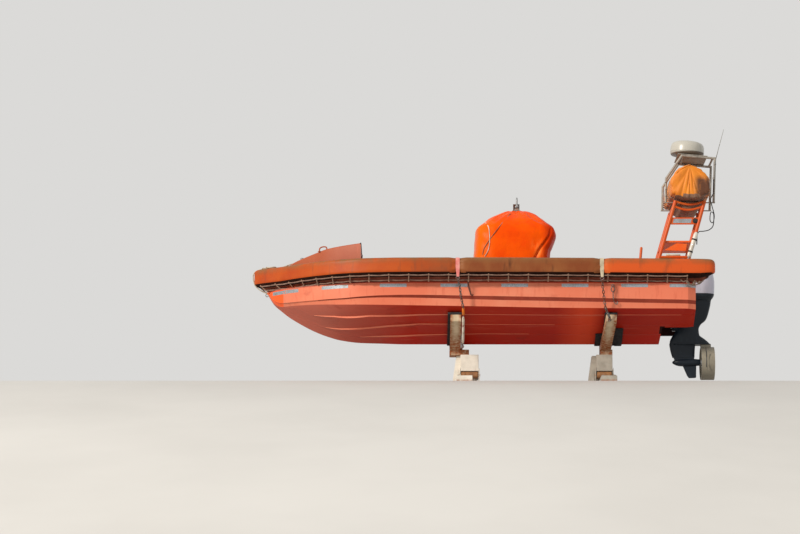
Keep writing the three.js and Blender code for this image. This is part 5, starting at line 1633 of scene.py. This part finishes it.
def below_bottom(y, drop):
    """Y and Z of a point that lies drop mm under the V of the bottom."""
    return y, 650 + abs(y) * math.tan(DEADRISE) - drop


def cross_prism(outline, x_low, x_high, yaw=0.0):
    """An outline in Y and Z, carried along the boat from x_low to x_high."""
    return extruded(*([(x + yaw * (abs(y) - 450), y, z) for y, z in outline] for x in (x_low, x_high)))


def arm_shape(sign, station, yaw):
    rows = [(60, 0), (866, 0), (872, 6), (866, 90), (856, 96), (10, 118), (10, 4)]
    outline = [below_bottom(sign * y, ARM_CLEAR + drop) for y, drop in rows]
    return cross_prism(outline, station - ARM_HALF, station + ARM_HALF, yaw)


def pedestal_shapes(foot, low, high):
    """A box on a narrow stem over a cross beam, with a roller bracket at each corner and a slanted stay."""
    shapes = [box_mm(low, high, -180, 180, 250, 480), box_mm(low + 22, high - 22, -84, 84, 100, 250)]
    shapes.append(box_mm(foot - 110, foot + 110, -860, 860, 0, 100))
    stay = [(high + 112, 100), (high + 24, 100), (high - 26, 478), (high + 58, 478)]
    shapes.append(prism(stay, -70, 70))
    for y in (-184, 92):
        for x in (low - 14, high + 2):
            shapes.append(prism([(x, 100), (x + 12, 100), (x + 12, 262), (x, 300)], y, y + 92))
    return shapes


def roller_shapes(low, high):
    shapes = []
    stops = [low + 2, low + 6, low + 16, high - 16, high - 6, high - 2]
    for y in (-138, 138):
        shapes.append(rod_skin([(x, y, ROLLER_Z) for x in stops], [26, 30, 50, 50, 30, 26], 28))
        for x in (low - 22, high + 12):
            shapes.append(rod_skin([(x, y, ROLLER_Z), (x + 10, y, ROLLER_Z)], 18, 6))
    return shapes


def make_cradle():
    rusty_roller = paint_finish("roller_steel", "#8A6244", "#A87A50", "#4A2C1A", 0.1)
    for name, plan in CRADLES.items():
        station, foot, (low, high) = plan["station"], plan["foot"], plan["box"]
        middle = station + HULL_X_TO_FRAME
        edges = [("X", middle + 20, middle + 70), ("X", middle - 20, middle - 70), ("Z", 740, 620)]
        beige = cradle_finish(f"arm_enamel_{name}", "#CDBB9C", "#B09C7C", edges)
        white = cradle_finish(f"pedestal_enamel_{name}", *plan["enamel"], [("Z", 60, 20)])
        arms = [arm_shape(sign, station, plan["yaw"]) for sign in (1, -1)]
        arms.append(box_mm(min(station, foot) - 78, max(station, foot) + 78, -120, 120, 480, 560))
        arm = make_piece(f"cradle_arms_{name}", merged(arms), beige, bevel=0.004)
        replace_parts(arm, f"cradle_{name}")
        stand = merged(pedestal_shapes(foot, low, high))
        make_piece(f"cradle_pedestal_{name}", stand, white, bevel=0.003)
        rollers = merged(roller_shapes(low, high))
        make_piece(f"cradle_rollers_{name}", rollers, rusty_roller, smooth=50)
        bolts = [(foot + dx, y, 100) for dx in (-82, 82) for y in (-800, -560, -320, 320, 560, 800)]
        heads = bolt_heads(bolts, (0, 0, 1), 15, 14)
        make_piece(f"cradle_bolts_{name}", heads, RUSTED_STEEL, smooth=20)
        for side, sign in BOTH_SIDES:
            pads = []
            for x_low, x_high, y_in, y_out in plan["pads"]:
                rows = [(y_in, 36), (y_in, 0.8), (y_out - 8, 0.8), (y_out, 8), (y_out, 36)]
                pads.append(cross_prism([below_bottom(sign * y, drop) for y, drop in rows], x_low, x_high))
            lining = merged(pads)
            pad = make_piece(f"cradle_rubber_{name}_{side}", lining, RUBBER, bevel=0.003)
            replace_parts(pad, f"cradle_pad_{name}_{side}")


make_cradle()

# Gripes: a polyester web strap over the fender at each joint, hooked to a rusty short-link chain with a
# turnbuckle below it, which runs down beside the cradle's arm to a lug on it.
STRAP_END_Z = 1420
# From the strap's ring: where the chain leads, where it ends, and where the turnbuckle's two parts end
GRIPE_RUNS = {
    "fore": [
        (355, 1165, 1300), (335, 1128, 1165), (304, 1050, 1021), (300, 970, 921), (300, 500, 583),
        (304, 462, 556),
    ],
    "aft": [
        (-1620, 1150, 1290), (-1640, 1080, 1150), (-1662, 1010, 1020), (-1690, 965, 965), (-1728, 912, 888),
        (-1730, 900, 872),
    ],
}


def web_finish(name, colour, faded):
    """Woven polyester webbing: a ribbed weave across the strap, sun-faded and frayed to fuzz."""
    material, tree = surface(name, colour, 0.9, Sheen_Weight=0.25)
    place = object_place(tree)
    ribs = add_node(tree, "ShaderNodeTexWave", {"Vector": place, "Scale": 110.0}, bands_direction="Z")
    tone = layered(tree, colour, faded, patches(tree, 60, 0.4, 0.7))
    return dressed(material, tone, [(ribs.outputs["Fac"], 0.5)])


def row_tree():
    """Geometry Nodes: copies of an object every pitch along a curve, each turned on from the last."""
    tree = bpy.data.node_groups.new("row_of_copies", "GeometryNodeTree")
    for label, kind in (
        ("Curve", "Geometry"), ("Copy", "Object"), ("Pitch", "Float"), ("Turn", "Float"),
        ("Finish", "Material"),
    ):
        tree.interface.new_socket(label, in_out="INPUT", socket_type=f"NodeSocket{kind}")
    tree.interface.new_socket("Row", in_out="OUTPUT", socket_type="NodeSocketGeometry")
    given = add_node(tree, "NodeGroupInput")
    spots = add_node(
        tree,
        "GeometryNodeCurveToPoints",
        {"Curve": given.outputs["Curve"], "Length": given.outputs["Pitch"]},
        mode="LENGTH",
    )
    number = add_node(tree, "GeometryNodeInputIndex")
    angle = add_node(
        tree, "ShaderNodeMath", {0: number.outputs[0], 1: given.outputs["Turn"]}, operation="MULTIPLY"
    )
    spin = add_node(tree, "FunctionNodeAxisAngleToRotation", {"Axis": (0, 0, 1), "Angle": angle.outputs[0]})
    turned = add_node(
        tree,
        "FunctionNodeRotateRotation",
        {"Rotation": spots.outputs["Rotation"], "Rotate By": spin.outputs[0]},
        rotation_space="LOCAL",
    )
    shape = add_node(tree, "GeometryNodeObjectInfo", {"Object": given.outputs["Copy"]})
    copies = add_node(
        tree,
        "GeometryNodeInstanceOnPoints",
        {
            "Points": spots.outputs["Points"],
            "Instance": shape.outputs["Geometry"],
            "Rotation": turned.outputs[0],
        },
    )
    real = add_node(tree, "GeometryNodeRealizeInstances", {"Geometry": copies.outputs[0]})
    painted = add_node(
        tree, "GeometryNodeSetMaterial", {"Geometry": real.outputs[0], "Material": given.outputs["Finish"]}
    )
    add_node(tree, "NodeGroupOutput", {0: painted.outputs[0]})
    return tree


ROW_TREE = row_tree()


def row_along(name, path, copy, pitch, turn, finish, body="root"):
    """A mesh of copies along a path in mm, made by the row tree and then made plain."""
    curve = bpy.data.curves.new(name, "CURVE")
    curve.dimensions = "3D"
    curve.twist_mode = "Z_UP"
    line = curve.splines.new("POLY")
    line.points.add(len(path) - 1)
    for spot, place in zip(line.points, hull_mm(path)):
        spot.co = (*place, 1)
    holder = bpy.data.objects.new(name + "_curve", curve)
    bpy.context.scene.collection.objects.link(holder)
    change = holder.modifiers.new("row", "NODES")
    change.node_group = ROW_TREE
    values = {"Copy": copy, "Pitch": pitch / 1000, "Turn": turn, "Finish": finish}
    for socket in ROW_TREE.interface.items_tree:
        if socket.in_out == "INPUT" and socket.name in values:
            change[socket.identifier] = values[socket.name]
    bpy.context.view_layer.update()
    mesh = bpy.data.meshes.new_from_object(holder.evaluated_get(bpy.context.evaluated_depsgraph_get()))
    mesh.name = name
    bpy.data.objects.remove(holder)
    piece = bpy.data.objects.new(name, mesh)
    bpy.context.scene.collection.objects.link(piece)
    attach(piece, body)
    return piece


def chain_link():
    """One welded link, 58 mm long, of 12 mm wire, standing along Z at the origin."""
    path = []
    for turn in np.linspace(0, 2 * math.pi, 20, endpoint=False):
        path.append((14 * math.cos(turn), 0, 14 * math.sin(turn) + math.copysign(9, math.sin(turn))))
    path += path[:2]
    points, faces = rod_skin(np.array(path) - [HULL_X_TO_FRAME, 0, 0], 6, 7)
    return make_piece("chain_link_copy", (points, faces), RUSTED_STEEL, body=None, smooth=60)


def strap_path(joint_x):
    """The strap's way over the fender's top and down its face, and how far out its end hangs."""
    outer, inner = plan_at(run_at(joint_x + 28))[1], plan_at(run_at(joint_x + 28))[3]
    face, top = outer - 22, FENDER_TOP_Z - 8
    run = [
        (inner - 86, 1716), (inner, 1716), (face - 80, top), (face - 30, top - 4), (face - 4, top - 16),
        (face + 4, top - 48), (face + 4, 1600), (face, 1480), (face, STRAP_END_Z + 6),
    ]
    return fair_path([(joint_x, y + 1.4, z + 1.4) for y, z in run], 10), face


def strap_skin(path, sign):
    """A flat web along a path, a little cupped across its width."""
    profile = [(-28, 0.4), (-14, 0.8), (14, 0.8), (28, 0.4), (28, 3.2), (14, 3.8), (-14, 3.8), (-28, 3.2)]
    rings = []
    for place, way in zip(path, np.gradient(path, axis=0)):
        out = np.array([0, -way[2], way[1]]) / np.hypot(way[1], way[2])
        out *= 1 if out[1] + out[2] > 0 else -1
        taper = float(np.interp(place[2], [STRAP_END_Z, 1560], [0.62, 1]))
        shift = 1.5 * math.sin(place[2] / 60)
        ring = [place + out * lift + (dx * taper + shift, 0, 0) for dx, lift in profile]
        rings.append(hull_mm([(p[0], sign * p[1], p[2]) for p in ring]))
    return skin(rings)


def make_gripes():
    webs = {
        "fore": web_finish("strap_web_red", "#D4736E", "#E09A90"),
        "aft": web_finish("strap_web_beige", "#C6B99D", "#A99C84"),
    }
    chain = steel_finish("rusty_chain", "#54382A", "#70381A", 0.16)
    orange = paint_finish("buckle_orange", "#E07A1E", "#C8661C", "#7A4122", 0.1)
    white = paint_finish("buckle_white", "#E2DCD0", "#C8BCA8", "#8A4A22", 0.14)
    dark = steel_finish("dark_buckle", "#33291F", "#5A3420", 0.1)
    buckles = {"fore": [orange, white], "aft": [chain, dark]}
    copy = chain_link()
    for which, joint_x in zip(("fore", "aft"), FENDER_JOINTS):
        path, face = strap_path(joint_x)
        for side, sign in BOTH_SIDES:
            web = strap_skin(path, sign)
            strap = make_piece(f"gripe_web_{which}_{side}", web, webs[which], smooth=40)
            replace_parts(strap, f"gripe_strap_{which}_{side}")
            high = np.array((joint_x, sign * (face + 2.6), STRAP_END_Z - 2))
            corners = ((-24, 0, 2), (24, 0, 2), (4, 0, -42), (-4, 0, -42), (-24, 0, 2), (24, 0, 2))
            ringed = [high + np.array(corner) for corner in corners]
            stops = [np.array((x, sign * y, z)) for x, y, z in GRIPE_RUNS[which]]
            lead = fair_path([high + (0, 0, -46), *stops[:3]], 14)
            chain_piece = row_along(
                f"gripe_chain_links_{which}_{side}", lead, copy, 36, math.pi / 2, chain
            )
            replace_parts(chain_piece, f"gripe_chain_{which}_{side}")
            low = stops[5]
            ends = [rod_skin(fair_path(ringed, 6), 5, 8), rod_skin(eye_path(low, 16, 18), 6, 8)]
            ends.append(rod_skin(stops[2:], 6, 10))
            lug_top = max(low[2] + 20, 650 + abs(low[1]) * math.tan(DEADRISE) - ARM_CLEAR - 70)
            lug = sorted((low[1] - 22, low[1] + 22))
            ends.append(box_mm(low[0] - 2, low[0] + 28, *lug, low[2] - 24, lug_top))
            make_piece(f"gripe_hook_{which}_{side}", merged(ends), chain, smooth=50)
            for part, first, last, finish in zip(
                ("sleeve", "barrel"), stops[2:4], stops[3:5], buckles[which]
            ):
                body = [first + (last - first) * share for share in (0.04, 0.1, 0.9, 0.96)]
                barrel = rod_skin(body, [9, 17, 17, 9], 16)
                make_piece(f"gripe_{part}_{which}_{side}", barrel, finish, smooth=50)
    bpy.data.objects.remove(copy)


make_gripes()

# Odds and ends on the port side: the grab line's tail made up in a knotty bundle at the stern, a spare
# hook that hangs from an eye under the flange, a dark strip on the topside by the fore gripe that is
# painted shadow, standing in for the chain's shadow, and the radar's cable, looped once beside the mast.
def make_odds_and_ends():
    rope = rope_finish("tail_rope", "#5E4A3C", "#7C6858")
    tails = [
        [
            (-2890, 1046, 1398), (-2925, 1052, 1372), (-2960, 1040, 1350), (-3005, 1012, 1392),
            (-3030, 990, 1420),
        ],
        [
            (-2760, 1046, 1400), (-2810, 1052, 1352), (-2880, 1050, 1330), (-2950, 1036, 1352),
            (-3020, 1000, 1402),
        ],
        [
            (-2700, 1048, 1406), (-2745, 1054, 1378), (-2790, 1056, 1392), (-2840, 1052, 1344),
            (-2900, 1050, 1372),
        ],
    ]
    lines = [rod_skin(fair_path(line, 10), 7.5, 9, 3) for line in tails]
    for x, z, size in ((-2795, 1374, 20), (-2885, 1354, 24), (-2962, 1366, 20)):
        knot = [(x + k, 1048, z + 4) for k in (-16, -9, 0, 9, 16)]
        lines.append(rod_skin(knot, [8, size, size * 1.1, size, 8], 9))
    make_piece("grab_tail_bundle", merged(lines), rope, smooth=60)

    hull_y = 1004
    eye = eye_path((-1767, hull_y + 6, 1330), 17)
    bow = [
        (-1752, hull_y + 8, 1318), (-1742, hull_y + 9, 1270), (-1767, hull_y + 10, 1246),
        (-1792, hull_y + 9, 1270), (-1782, hull_y + 8, 1318),
    ]
    hook = [
        (-1767, hull_y + 10, 1250), (-1769, hull_y + 6, 1190), (-1775, hull_y - 6, 1130),
        (-1795, hull_y - 14, 1090),
    ]
    hook += [(-1818, hull_y - 18, 1076), (-1830, hull_y - 18, 1092), (-1826, hull_y - 16, 1112)]
    shapes = [
        rod_skin(eye, 6, 10), rod_skin(fair_path(bow, 8), 7, 10), rod_skin(fair_path(hook, 8), 6.5, 10)
    ]
    make_piece("spare_hook", merged(shapes), RUSTED_STEEL, smooth=50)

    # Painted shadow: a dark rod with a curled tip, laid on the topside where the fore gripe chain casts its
    # shadow
    tail = [(236, 1012, 1386), (232, 1016, 1340), (222, 1012, 1290), (206, 1004, 1240), (196, 1000, 1206)]
    tip = [(196, 1002, 1212), (184, 1000, 1196), (170, 1000, 1200), (166, 1002, 1214)]
    shapes = [rod_skin(fair_path(tail, 8), 9, 9, 2), rod_skin(fair_path(tip, 6), 6, 9)]
    web = rope_finish("tail_web", "#4E2A22", "#6A3A2E")
    make_piece("loose_strap_tail", merged(shapes), web, smooth=50)

    cable = [
        (-3236, 340, 2960), (-3232, 380, 2760), (-3182, 470, 2640), (-3196, 505, 2540), (-3226, 512, 2400),
        (-3206, 516, 2300), (-3166, 520, 2330), (-3176, 526, 2440), (-3216, 530, 2420), (-3208, 530, 2260),
        (-3150, 528, 2196), (-3070, 524, 2176), (-3010, 520, 2170), (-2985, 512, 2120), (-2976, 512, 1990),
    ]
    make_piece("radar_cable", rod_skin(fair_path(cable, 12), 6.5, 10), RUBBER, smooth=60)


make_odds_and_ends()
